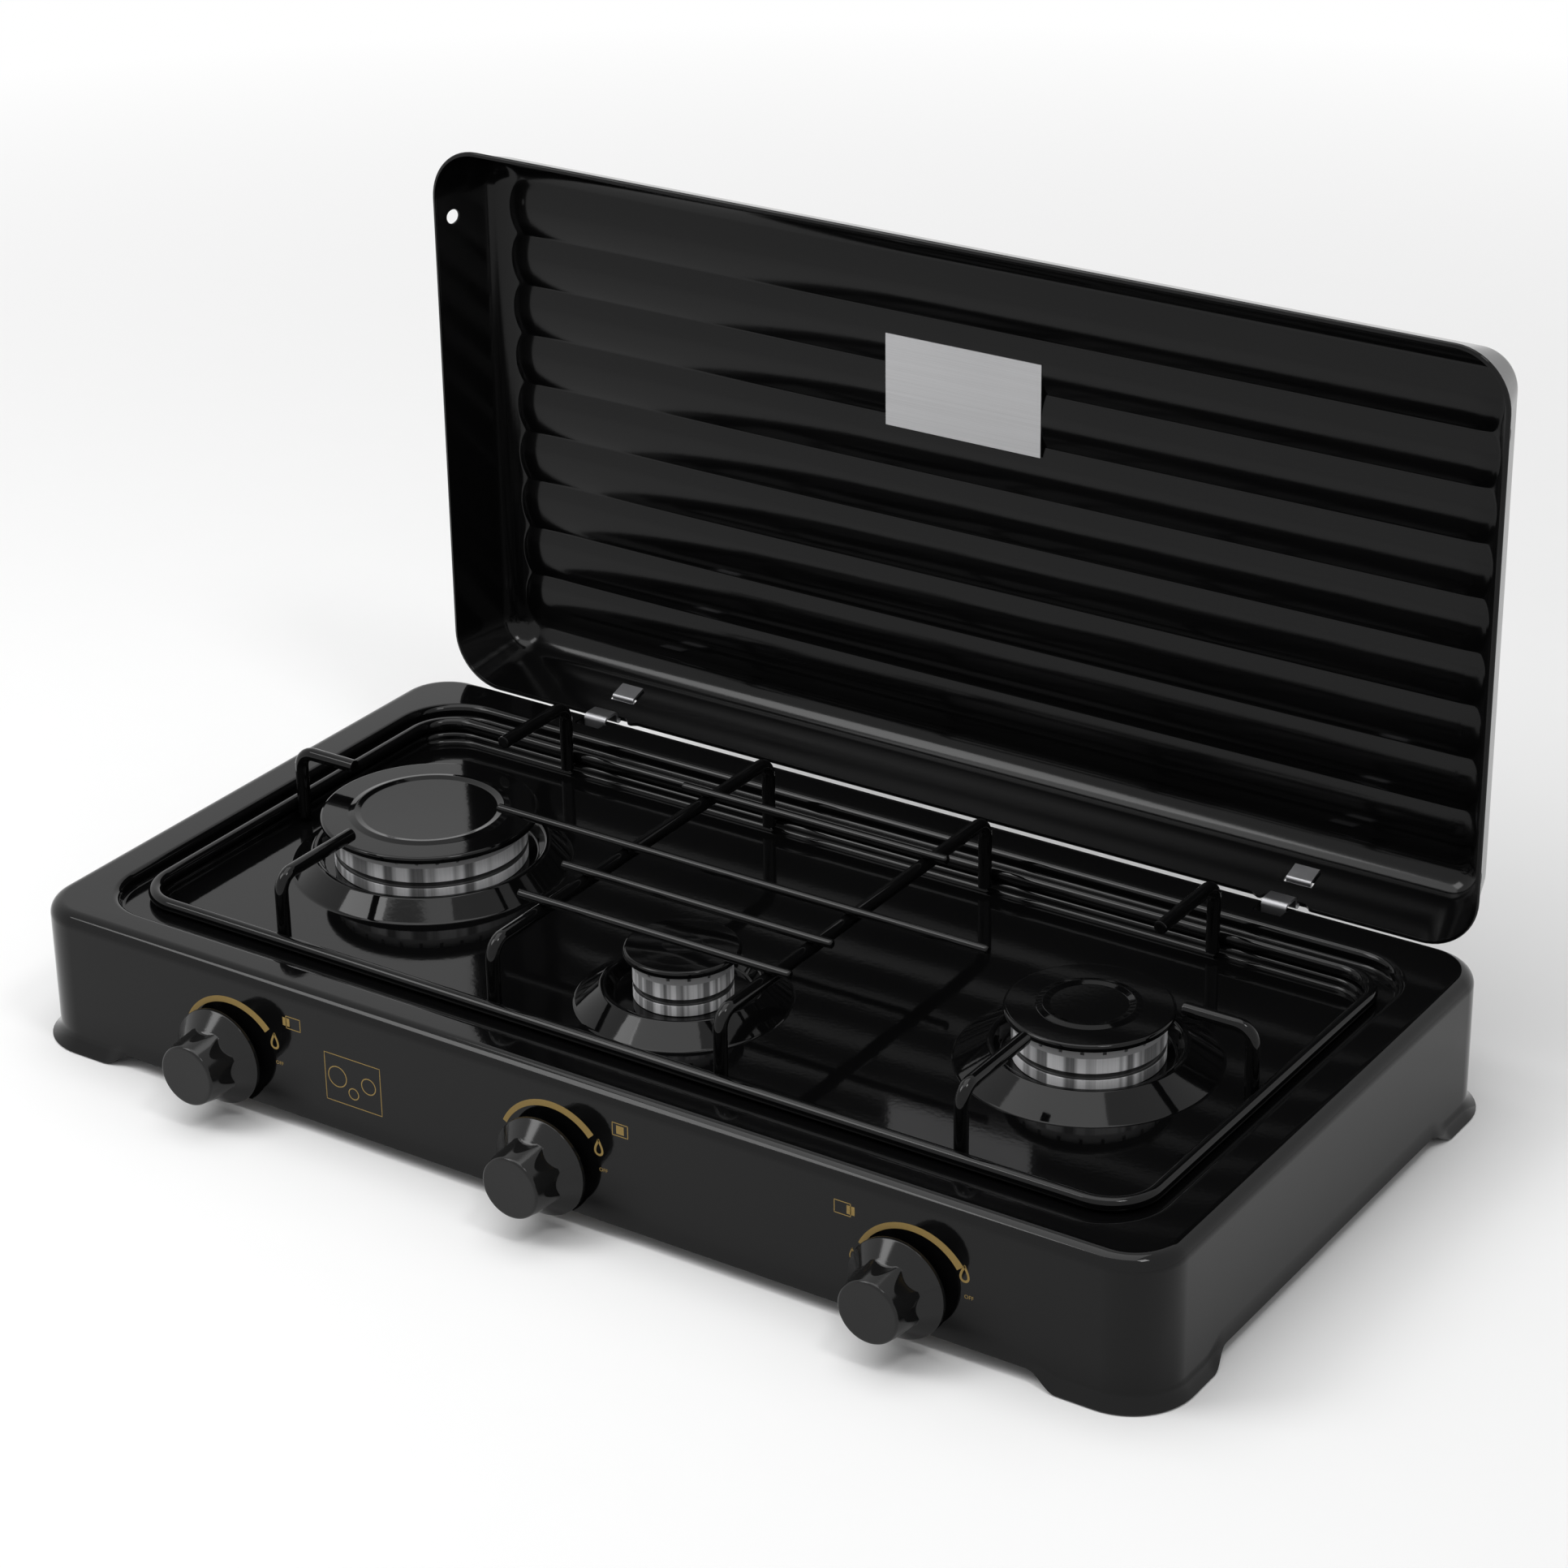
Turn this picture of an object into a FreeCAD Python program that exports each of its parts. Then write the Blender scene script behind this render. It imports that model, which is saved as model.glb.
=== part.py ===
import FreeCAD, Part
import math
import os
import Sketcher
from FreeCAD import Placement, Rotation, Vector

# A three-burner camping stove with a hinged lid, in millimetres: +X to the right, -Y to the front,
# +Z up, standing on z = 0. Each piece is made about the middle of the casing and then moved by
# stand_shift, so that the middle of the whole stove, lid open, lies over the origin.

DRIVING = [
    ("casing_width", 610, "casing, left to right"),
    ("casing_depth", 316, "casing, front to back"),
    ("casing_height", 72, "table to the flat rim"),
    ("sheet_wall", 1.0, "enamelled steel sheet"),
    ("casing_corner", 26, "upright corners of the casing"),
    ("fold_radius", 7, "fold between the rim and the walls"),
    ("skirt_gap", 6.5, "table to the lower edge between the feet"),
    ("foot_side", 44, "length of a foot along the front or back"),
    ("foot_run", 16, "length of the slope beside a foot"),
    ("foot_flare", 4.5, "how far the foot's lip stands out"),
    ("lip_out", 1.2, "how far the lower edge strip stands out"),
    ("well_side", 24, "rim beside the well, left and right"),
    ("well_front", 20.5, "rim in front of the well"),
    ("well_rear", 26, "rim behind the well, with the hinges"),
    ("well_corner", 30, "plan corners of the well"),
    ("basin_corner", 22, "plan corners of the basin inside the ledge"),
    ("well_lip", 3.6, "rounded edge between the rim and the well"),
    ("well_foot", 2.0, "rounded foot of the well's wall, on the ledge"),
    ("step_lip", 2.4, "rounded edge between the ledge and the basin"),
    ("step_foot", 2.1, "rounded foot of the basin's wall"),
    ("ledge_depth", 7, "rim down to the ledge that holds the wire rack"),
    ("ledge_side", 12.8, "ledge width, left and right"),
    ("ledge_front", 21.5, "ledge width, front"),
    ("ledge_rear", 17, "ledge width, back"),
    ("well_depth", 12, "rim down to the floor of the well"),
    ("burner_spread", 184, "middle of the stove to an outer burner"),
    ("outer_burner_y", -2, "outer burners, front to back"),
    ("middle_burner_y", -52, "middle burner, front to back"),
    ("boss_height", 9, "crest of a burner boss above the floor"),
    ("boss_round", 1.9, "rounding of a boss's crest"),
    ("dish_drop", 6, "crest of a boss down to the dish inside it"),
    ("dish_rim", 6, "crest radius less dish radius"),
    ("head_wall", 5, "burner head, ring thickness"),
    ("head_height", 20, "burner head above its dish"),
    ("cap_thick", 3.6, "burner cap"),
    ("cap_gap", 0.4, "slit between head and cap"),
    ("knob_height", 28, "knob axis above the table"),
    ("knob_spread", 185, "middle knob to an outer knob"),
    ("knob_out", 29, "panel to the knob's face"),
    ("knob_grip_radius", 14.8, "fluted grip of the knob"),
    ("knob_skirt_radius", 23.8, "skirt of the knob"),
    ("knob_back_gap", 5, "panel to the knob's skirt"),
    ("knob_push", 3, "travel of the knob when pushed in"),
    ("stem_radius", 3, "valve stem"),
    ("neck_radius", 4.8, "threaded neck of the valve through the panel"),
    ("barrel_radius", 9, "valve body"),
    ("barrel_length", 18, "valve body"),
    ("rail_radius", 6, "gas rail, outside"),
    ("rail_bore", 4.6, "gas rail, bore radius"),
    ("rail_inset", 30, "front panel to the rail's axis"),
    ("rail_end_x", 215, "right end of the rail"),
    ("inlet_x", 252, "middle of the stove to the inlet on its left"),
    ("hose_radius", 4.1, "hose tail, outside its barbs' roots"),
    ("hose_length", 26, "hose tail behind the back wall"),
    ("feed_radius", 3, "feed tube, outside"),
    ("feed_bore", 2, "feed tube, bore radius"),
    ("rack_wire", 6.6, "thick wire of the rack"),
    ("rack_bar", 4.4, "thin bars of the rack"),
    ("rack_top", 98.4, "axis of the fingers above the table"),
    ("rack_foot_gap", 3, "ends of the posts above the floor of the well"),
    ("rack_half_x", 271, "axis of the rack's loop, left and right"),
    ("rack_front_y", -119, "axis of the loop, front"),
    ("rack_rear_y", 118, "axis of the loop, back"),
    ("rack_corner", 22, "corners of the loop"),
    ("rack_bend", 8, "bends between posts and fingers"),
    ("finger_reach", 52, "reach of a front or back finger from its post"),
    ("side_reach", 34, "reach of a side finger from its post"),
    ("cross_x", 62, "middle of the stove to a cross wire"),
    ("lid_length_x", 588, "lid, left to right"),
    ("lid_length_y", 293, "lid, front to back when shut"),
    ("lid_corner", 28, "corners of the lid"),
    ("lid_depth", 39.5, "lid, rim to its top"),
    ("lid_lean", 12.12, "how far each wall of the lid leans in over its depth"),
    ("lid_fold", 16, "large fold between the lid's walls and its top"),
    ("lid_bead", 0.9, "how far the rolled rim of the lid stands out"),
    ("lid_bead_height", 2.3, "rolled rim of the lid"),
    ("lid_gap", 0.4, "shut lid above the rim"),
    ("lid_hole_radius", 3.75, "holes in the lid's side walls"),
    ("rib_count", 9, "pressed ribs of the lid"),
    ("rib_pitch", 26.7, "rib to rib"),
    ("rib_rise", 3, "how far a rib is pressed into the lid"),
    ("rib_half", 15, "half the width that a rib has at the lid's top"),
    ("rib_end_inset", 18, "end of a rib inside the lid's side edge"),
    ("hinge_spread", 196, "middle of the stove to a hinge"),
    ("hinge_back", 4.7, "hinge axis inside the outer face of the back wall"),
    ("hinge_drop", 7.8, "hinge axis below the rim"),
    ("lid_shut_back", 8, "back edge of the shut lid inside the back wall"),
    ("pin_radius", 1.5, "hinge pin"),
    ("strap_wall", 1.4, "hinge strap, thickness"),
    ("strap_width", 13, "hinge strap, width"),
    ("plate_width", 87, "blank plate on the lid"),
    ("plate_height", 47, "blank plate on the lid"),
    ("plate_wall", 0.5, "blank plate on the lid"),
    ("plate_x", -3.6, "middle of the plate"),
    ("plate_z", 273, "middle of the plate above the table, lid open"),
    ("lid_hole_depth", 10, "rim of the lid to a side hole"),
    ("lid_hole_left", -107, "side hole on the left, from the middle of the lid to its front"),
    ("lid_hole_far", -105, "far side hole on the right"),
    ("lid_hole_near", 112, "near side hole on the right"),
    ("notch_width", 23, "notch in the lid's rim for a strap"),
    ("notch_height", 2.8, "notch in the lid's rim for a strap"),
    ("relief_half", 180, "shallow relief in the lid's back rim, half its length"),
    ("relief_height", 1.7, "shallow relief in the lid's back rim"),
    ("tab_depth", 15, "rim of the lid to the slot for the strap's tab"),
    ("tab_length", 9, "tab of the strap inside the lid"),
    ("slot_height", 4.4, "slot in the lid for the strap's tab"),
    ("strap_over", 9.6, "strap above the hinge axis, over the fold of the rim"),
    ("strap_gap", 0.15, "strap to the lid's sheet"),
    ("ear_spread", 9.6, "middle of a hinge to an ear of its bracket"),
    ("ear_wall", 2, "ear of a hinge bracket"),
    ("weld_gap", 0.02, "welded wires, surface to surface"),
    ("bar_front_y", -75, "front thin bar"),
    ("bar_second_y", -41, "second thin bar"),
    ("bar_long_y", -9, "long thin bar"),
    ("bar_rear_y", 57, "rear thin bar"),
    ("bar_half", 74.5, "half the length of a short bar"),
    ("bar_long_half", 136, "half the length of the long bar"),
    ("port_radius", 1.5, "gas ports"),
    ("union_length", 14, "union inside the back wall"),
    ("inlet_radius", 5, "inlet pipe, outside"),
    ("inlet_bore", 3.4, "inlet pipe, bore radius"),
    ("inlet_bend", 18, "bend of the inlet pipe"),
    ("hose_bore", 2.4, "hose tail, bore radius"),
    ("barb_height", 0.4, "barbs of the hose tail"),
    ("barb_gap", 0.5, "waist in front of each barb"),
    ("neck_length", 3, "plain neck of the hose tail behind the wall"),
    ("tail_tip", 1, "end of the hose tail past its last barb"),
    ("union_wall", 2.5, "wall of the union round the inlet pipe"),
    ("neck_out", 2, "neck of a valve in front of the panel"),
    ("flange_wall", 4, "flange of a valve"),
    ("clamp_width", 14, "valve flange and clamp, along the rail"),
    ("clamp_reach", 17, "valve flange and clamp, half their height"),
    ("clamp_screw_z", 12.5, "clamp screw above or below the rail's axis"),
    ("screw_radius", 1.7, "screws"),
    ("screw_head", 2, "height of a screw's head"),
    ("plug_radius", 6.4, "plug inside a valve"),
    ("plug_floor", 1.4, "closed end of a plug"),
    ("plug_length", 7, "plug inside a valve"),
    ("cavity_length", 16.5, "space for plug and spring in a valve"),
    ("collar_radius", 5, "collar of a stem, which keeps it in the valve"),
    ("collar_wall", 1.2, "collar of a stem"),
    ("knob_face_wall", 3, "face of a knob"),
    ("knob_wall", 1.6, "skirt of a knob"),
    ("knob_cone_top", 13.7, "panel to where the grip starts"),
    ("grip_flare", 2.5, "how far the grip widens from its face down to the cone"),
    ("flute_radius", 20, "hollow flutes of a knob"),
    ("flute_valley", 0.1, "valley of a flute outside the radius of the grip's face"),
    ("spring_wire", 0.7, "wire of a knob's spring"),
    ("spring_radius", 4.4, "knob's spring, axis to wire"),
    ("spring_turns", 4, "knob's spring"),
    ("feed_back", 7, "feed tube's axis in front of the rail's flange"),
    ("feed_top", 12, "valve outlet above the knob axis"),
    ("feed_rise", 8, "feed tube above the valve outlet"),
    ("feed_bend", 7, "bends of a feed tube"),
    ("cup_wall", 2.5, "walls of a cup"),
    ("cup_floor_z", 43, "underside of a cup"),
    ("collar_gap", 0.4, "cup and cap inside the head"),
    ("jet_radius", 3.5, "threaded spigot of an injector"),
    ("jet_bore", 0.6, "jet"),
    ("jet_shoulder", 8, "injector below the cup"),
    ("groove_depth", 1.5, "groove round a burner head"),
    ("port_slope", 2, "sloped top edge of a burner head"),
    ("port_width", 1.6, "flame port"),
    ("port_drop", 1.4, "depth of a flame port"),
    ("cap_crown", 0.8, "crown or ring of a cap above its edge"),
    ("cap_dip", 0.4, "dished middle of a cap"),
    ("bead_width", 4.2, "ring on a cap"),
    ("spigot_drop", 5, "spigot of a cap inside the head"),
    ("running_gap", 0.05, "radial clearance of a shaft in its hole"),
    ("seat_gap", 0.3, "clearance of a seated piece"),
]

# Burners: cap radius, radius of the cap's ring bead, head radius, boss base radius, crest radius,
# ports in the head, sign of its place along X.
BURNERS = {
    "left": (53.0, 36.3, 47.2, 68.0, 58.0, 30, -1),
    "middle": (27.2, 0.0, 23.2, 50.2, 38.2, 15, 0),
    "right": (38.4, 20.8, 34.6, 60.3, 45.0, 22, 1),
}
FLUTES = 8
BARBS = 4
BURNER_SIZES = ("cap_radius", "bead_radius", "head_radius", "base_radius", "crest_radius")

doc = FreeCAD.newDocument("camping_stove")
sheet = doc.addObject("Spreadsheet::Sheet", "Sizes")
nodes = []
rows = 0


class Size:
    """A number that remembers its spreadsheet formula, so that a sum of sizes can be bound."""

    def __init__(self, number, formula):
        self.number = float(number)
        self.formula = formula

    def __float__(self):
        return self.number

    def __neg__(self):
        return Size(-self.number, f"(-{self.formula})")

    def __add__(self, other):
        return Size(self.number + float(other), f"({self.formula} + {formula_of(other)})")

    def __radd__(self, other):
        return Size(self.number + float(other), f"({formula_of(other)} + {self.formula})")

    def __sub__(self, other):
        return Size(self.number - float(other), f"({self.formula} - {formula_of(other)})")

    def __rsub__(self, other):
        return Size(float(other) - self.number, f"({formula_of(other)} - {self.formula})")

    def __mul__(self, other):
        return Size(self.number * float(other), f"({self.formula} * {formula_of(other)})")

    __rmul__ = __mul__

    def __truediv__(self, other):
        return Size(self.number / float(other), f"({self.formula} / {formula_of(other)})")


def formula_of(value):
    """The spreadsheet text of a size or of a plain number."""
    return value.formula if isinstance(value, Size) else f"{float(value):.6f}"


OUTER_FACE = Size(0.0, "0.0")


def add_cell(alias, value, note):
    """Write one named size into the sheet and return it as a Size."""
    global rows
    rows += 1
    sheet.set(f"A{rows}", note)
    sheet.set(f"B{rows}", f"{value:.6f}")
    sheet.setAlias(f"B{rows}", alias)
    return Size(value, f"Sizes.{alias}")


class Sizes:
    """The driving sizes as attributes."""


s = Sizes()
for name, value, note in DRIVING:
    setattr(s, name, add_cell(name, value, note))
for which, values in BURNERS.items():
    for name, value in zip(BURNER_SIZES, values):
        setattr(s, f"{which}_{name}", add_cell(f"{which}_{name}", value, f"{which} burner, {name}"))

# Places that follow from the driving sizes
s.front_y = -s.casing_depth / 2
s.rear_y = s.casing_depth / 2
s.floor_z = s.casing_height - s.well_depth
s.ledge_z = s.casing_height - s.ledge_depth
s.dish_z = s.floor_z + s.boss_height - s.dish_drop
s.crest_z = s.floor_z + s.boss_height
s.head_top_z = s.dish_z + s.head_height
s.hinge_y = s.rear_y - s.hinge_back
s.hinge_z = s.casing_height - s.hinge_drop
s.lid_shut_y = s.rear_y - s.lid_shut_back
# The open lid stands upright: a quarter turn about the hinge axis from the shut lid.
s.lid_open_y = s.hinge_y + s.casing_height + s.lid_gap - s.hinge_z
s.lid_open_z = s.hinge_z + s.hinge_y - s.lid_shut_y
s.lid_middle_z = s.lid_open_z + s.lid_length_y / 2
s.rail_y = s.front_y + s.rail_inset
s.feed_y = s.rail_y - s.rail_radius - s.flange_wall - s.feed_back
s.cavity_back_y = s.rail_y - s.rail_radius - 3
s.cavity_front_y = s.cavity_back_y - s.cavity_length
s.plug_front_y = s.cavity_back_y - s.seat_gap - s.plug_length
s.stem_back_y = s.cavity_back_y - s.seat_gap - s.plug_floor - s.knob_push - s.seat_gap
s.knob_face_y = s.front_y - s.knob_out
s.lid_back_y = s.lid_open_y + s.lid_depth
# A rib's section is an arc over its whole width.
s.rib_radius = (s.rib_half * s.rib_half + s.rib_rise * s.rib_rise) / (s.rib_rise * 2)
s.stand_shift = add_cell(
    "stand_shift", -(float(s.knob_face_y) + float(s.lid_back_y)) / 2, "puts the middle of the stove on Y = 0"
)
doc.recompute()


def bind(thing, prop, value):
    """Set a property, and tie it to the sheet where the value is a Size."""
    if isinstance(value, Size):
        thing.setExpression(prop, value.formula)
    else:
        setattr(thing, prop, value)


def place(thing, x=0.0, y=0.0, z=0.0, rotation=None):
    """Put an object at x, y, z, each of them tied to the sheet where it is a Size."""
    thing.Placement = Placement(Vector(float(x), float(y), float(z)), rotation or Rotation())
    for axis, value in zip("xyz", (x, y, z)):
        if isinstance(value, Size):
            thing.setExpression(f"Placement.Base.{axis}", value.formula)
    return thing


def node(thing, label, x=0.0, y=0.0, z=0.0, rotation=None):
    """Name a finished sub-part and put it in the frame of the whole stove."""
    thing.Label = label
    place(thing, x, s.stand_shift + y, z, rotation)
    nodes.append(thing)
    return thing


def solid(kind, x=0.0, y=0.0, z=0.0, rotation=None, **sizes):
    """A Part primitive with its sizes and place tied to the sheet."""
    thing = doc.addObject(f"Part::{kind}", kind.lower())
    for prop, value in sizes.items():
        bind(thing, prop, value)
    return place(thing, x, y, z, rotation)


def joined(parts):
    """One object from several."""
    fuse = doc.addObject("Part::MultiFuse", "fuse")
    fuse.Shapes = parts
    return fuse


def cut(base, tool):
    """base less tool."""
    result = doc.addObject("Part::Cut", "cut")
    result.Base = base
    result.Tool = tool
    return result


def formed(label, shape):
    """A sub-part whose shape is worked out here, for bent wire, tube and strip."""
    thing = doc.addObject("Part::Feature", label)
    thing.Shape = shape
    return thing


def new_body(name):
    return doc.addObject("PartDesign::Body", name)


def new_sketch(body, plane, height=0.0):
    """A sketch on one of the body's own origin planes, lifted off it by height."""
    sketch = body.newObject("Sketcher::SketchObject", f"{body.Name}_sketch")
    support = [item for item in body.Origin.OriginFeatures if item.Role == plane][0]
    sketch.AttachmentSupport = [(support, "")]
    sketch.MapMode = "FlatFace"
    if isinstance(height, Size):
        sketch.setExpression("AttachmentOffset.Base.z", height.formula)
    else:
        sketch.AttachmentOffset = Placement(Vector(0, 0, height), Rotation())
    return sketch


def hold(sketch, kind, first, first_end, second, second_end, value):
    """One dimension of a sketch, tied to the sheet where it is a Size."""
    number = sketch.addConstraint(
        Sketcher.Constraint(kind, first, first_end, second, second_end, float(value))
    )
    if isinstance(value, Size):
        sketch.setExpression(f"Constraints[{number}]", value.formula)


def outline(sketch, points):
    """A closed outline of straight lines, with both coordinates of each point held."""
    count = len(points)
    for i, (a, b) in enumerate(points):
        c, d = points[(i + 1) % count]
        start = Vector(float(a), float(b), 0)
        end = Vector(float(c), float(d), 0)
        sketch.addGeometry(Part.LineSegment(start, end), False)
    for i, (a, b) in enumerate(points):
        sketch.addConstraint(Sketcher.Constraint("Coincident", i, 2, (i + 1) % count, 1))
        hold(sketch, "DistanceX", -1, 1, i, 1, a)
        hold(sketch, "DistanceY", -1, 1, i, 1, b)


def circle(sketch, x, y, radius):
    """A circle with its centre and radius held."""
    middle = Vector(float(x), float(y), 0)
    sketch.addGeometry(Part.Circle(middle, Vector(0, 0, 1), float(radius)), False)
    which = sketch.GeometryCount - 1
    hold(sketch, "DistanceX", -1, 1, which, 3, x)
    hold(sketch, "DistanceY", -1, 1, which, 3, y)
    number = sketch.addConstraint(Sketcher.Constraint("Radius", which, float(radius)))
    if isinstance(radius, Size):
        sketch.setExpression(f"Constraints[{number}]", radius.formula)


def rounded_outline(sketch, left, right, low, high, radius):
    """A rectangle with rounded corners: four lines and four tangent arcs."""
    x0, x1, y0, y1, r = (float(v) for v in (left, right, low, high, radius))
    corners = [(x1 - r, y0 + r, -90), (x1 - r, y1 - r, 0), (x0 + r, y1 - r, 90), (x0 + r, y0 + r, 180)]
    for x, y, start in corners:
        turn = Part.Circle(Vector(x, y, 0), Vector(0, 0, 1), r)
        sketch.addGeometry(
            Part.ArcOfCircle(turn, math.radians(start), math.radians(start + 90)), False
        )
    sides = [
        ((x1, y0 + r), (x1, y1 - r)), ((x1 - r, y1), (x0 + r, y1)),
        ((x0, y1 - r), (x0, y0 + r)), ((x0 + r, y0), (x1 - r, y0)),
    ]
    for start, end in sides:
        sketch.addGeometry(Part.LineSegment(Vector(*start, 0), Vector(*end, 0)), False)
    for i in range(4):
        sketch.addConstraint(Sketcher.Constraint("Tangent", i, 2, 4 + i, 1))
        sketch.addConstraint(Sketcher.Constraint("Tangent", 4 + i, 2, (i + 1) % 4, 1))
    for i in range(1, 4):
        sketch.addConstraint(Sketcher.Constraint("Equal", 0, i))
    sketch.addConstraint(Sketcher.Constraint("Vertical", 4))
    sketch.addConstraint(Sketcher.Constraint("Horizontal", 5))
    number = sketch.addConstraint(Sketcher.Constraint("Radius", 0, r))
    if isinstance(radius, Size):
        sketch.setExpression(f"Constraints[{number}]", radius.formula)
    hold(sketch, "DistanceX", -1, 1, 4, 1, right)
    hold(sketch, "DistanceX", -1, 1, 6, 1, left)
    hold(sketch, "DistanceY", -1, 1, 7, 1, low)
    hold(sketch, "DistanceY", -1, 1, 5, 1, high)


def extrude(body, sketch, kind, length, symmetric=False, reverse=False):
    """A Pad or a Pocket of a sketch."""
    feature = body.newObject(f"PartDesign::{kind}", f"{body.Name}_{kind.lower()}")
    feature.Profile = sketch
    feature.SideType = "Symmetric" if symmetric else "One side"
    feature.Reversed = reverse
    bind(feature, "Length", length)
    sketch.Visibility = False
    return feature


def revolve(body, sketch, kind="Revolution", axis="V_Axis"):
    """A Revolution or a Groove of a sketch about one of its own axes."""
    feature = body.newObject(f"PartDesign::{kind}", f"{body.Name}_{kind.lower()}")
    feature.Profile = sketch
    feature.ReferenceAxis = (sketch, [axis])
    feature.Angle = 360
    return feature


def round_edges(body, radius, wanted):
    """A Fillet on those edges of the body whose bounding box the wanted test accepts."""
    doc.recompute()
    base = body.Tip
    names = [
        f"Edge{i + 1}" for i, edge in enumerate(base.Shape.Edges)
        if wanted(edge.BoundBox) and not edge.Degenerated
    ]
    feature = body.newObject("PartDesign::Fillet", f"{body.Name}_fillet")
    feature.Base = (base, names)
    bind(feature, "Radius", radius)
    body.Tip = feature
    return feature


def near(a, b, within=0.05):
    return abs(float(a) - float(b)) < within


def on_level(z):
    """A test for edges that lie flat at height z."""
    return lambda box: near(box.ZMin, z) and near(box.ZMax, z)


def on_ring(z, left, right, low, high):
    """A test for edges that lie flat at height z on a rounded rectangle with these four sides."""
    def test(box):
        flat = near(box.ZMin, z) and near(box.ZMax, z)
        inside = (box.XMin > float(left) - 1 and box.XMax < float(right) + 1
                  and box.YMin > float(low) - 1 and box.YMax < float(high) + 1)
        reaches = (near(box.XMin, left) or near(box.XMax, right)
                   or near(box.YMin, low) or near(box.YMax, high))
        return flat and inside and reaches
    return test


def turned(name, points):
    """A body turned about its own upright axis from a closed outline of (radius, height) points."""
    body = new_body(name)
    sketch = new_sketch(body, "XZ_Plane")
    outline(sketch, points)
    revolve(body, sketch)
    return body


def path_wire(points, radius):
    """Straight runs through the points, joined by tangent arcs of the given radius."""
    points = [Vector(*(float(v) for v in point)) for point in points]
    return side_wire(points, [float(radius)] * (len(points) - 2), 0.0)


def side_wire(points, bends, offset):
    """The same runs and arcs, moved sideways by offset in the YZ plane (none for a path in space)."""
    edges = []
    start = None
    across = Vector(1, 0, 0)
    for i in range(1, len(points) - 1):
        into = (points[i] - points[i - 1]).normalize()
        out = (points[i + 1] - points[i]).normalize()
        turn = into.getAngle(out)
        centre = points[i] + (out - into).normalize() * (bends[i - 1] / math.cos(turn / 2))
        first = points[i] - into * (bends[i - 1] * math.tan(turn / 2))
        last = points[i] + out * (bends[i - 1] * math.tan(turn / 2))
        middle = centre + (points[i] - centre).normalize() * bends[i - 1]
        if offset:
            bend_side = 1 if into.cross(out).x > 0 else -1
            share = (bends[i - 1] - offset * bend_side) / bends[i - 1]
            first, middle, last = (centre + (point - centre) * share for point in (first, middle, last))
        if start is None:
            start = points[0] + across.cross(into) * offset
        if (first - start).Length > 1e-6:
            edges.append(Part.LineSegment(start, first).toShape())
        edges.append(Part.Arc(first, middle, last).toShape())
        start = last
    edges.append(Part.LineSegment(start, points[-1] + across.cross(out) * offset).toShape())
    return Part.Wire(edges)


def sweep(wire, radius):
    """A round rod of the given radius along a wire."""
    first = wire.Edges[0]
    start = first.valueAt(first.FirstParameter)
    along = first.tangentAt(first.FirstParameter)
    ring = Part.Wire(Part.Circle(start, along, float(radius)).toShape())
    return wire.makePipeShell([ring], True, False)


def bent_rod(points, bend, radius):
    return sweep(path_wire(points, bend), radius)


def bent_tube(points, bend, radius, bore):
    return bent_rod(points, bend, radius).cut(bent_rod(points, bend, bore))


def bent_strip(points, bends, wall, width):
    """A flat strip bent in the YZ plane along the points, with its width along X."""
    half = float(width) / 2
    edges = []
    for offset in (float(wall) / 2, -float(wall) / 2):
        edges.append(side_wire([Vector(-half, y, z) for y, z in points], bends, offset))
    first, second = edges
    ends = [Part.LineSegment(first.OrderedVertexes[i].Point, second.OrderedVertexes[i].Point).toShape()
            for i in (0, -1)]
    face = Part.Face(Part.Wire(Part.__sortEdges__(first.Edges + second.Edges + ends)))
    return face.extrude(Vector(half * 2, 0, 0))


# Casing

def casing_form(name, inset):
    """The casing's outside, or with an inset of one wall the space inside it, as one closed body."""
    body = new_body(name)
    half_x = s.casing_width / 2 - inset
    half_y = s.casing_depth / 2 - inset
    top = s.casing_height - inset
    low = -inset * 2
    sketch = new_sketch(body, "XY_Plane", low)
    rounded_outline(sketch, -half_x, half_x, -half_y, half_y, s.casing_corner - inset)
    extrude(body, sketch, "Pad", top - low)
    round_edges(body, s.fold_radius - inset, on_level(top))

    well = new_sketch(body, "XY_Plane", top)
    edge_x = s.casing_width / 2 - s.well_side + inset
    front = s.front_y + s.well_front - inset
    rear = s.rear_y - s.well_rear + inset
    rounded_outline(well, -edge_x, edge_x, front, rear, s.well_corner + inset)
    extrude(body, well, "Pocket", s.ledge_depth)

    basin = new_sketch(body, "XY_Plane", top)
    inner_x = edge_x - s.ledge_side
    basin_front = front + s.ledge_front
    basin_rear = rear - s.ledge_rear
    rounded_outline(basin, -inner_x, inner_x, basin_front, basin_rear, s.basin_corner + inset)
    extrude(body, basin, "Pocket", s.well_depth)

    ledge = top - s.ledge_depth
    floor = top - s.well_depth
    round_edges(body, s.well_lip - inset, on_ring(top, -edge_x, edge_x, front, rear))
    round_edges(body, s.step_lip - inset, on_ring(ledge, -inner_x, inner_x, basin_front, basin_rear))
    round_edges(body, s.step_foot + inset, on_ring(floor, -inner_x, inner_x, basin_front, basin_rear))
    round_edges(body, s.well_foot + inset, on_ring(ledge, -edge_x, edge_x, front, rear))
    return body


def burner_place(which):
    """Where a burner stands."""
    side = BURNERS[which][-1]
    y = s.outer_burner_y if side else s.middle_burner_y
    return s.burner_spread * side, y


def burner_size(which, name):
    return getattr(s, f"{which}_{name}")


def hole_radius(which):
    """Radius of the hole in the dish, which the cup's collar fills."""
    return burner_size(which, "head_radius") - s.head_wall


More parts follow.
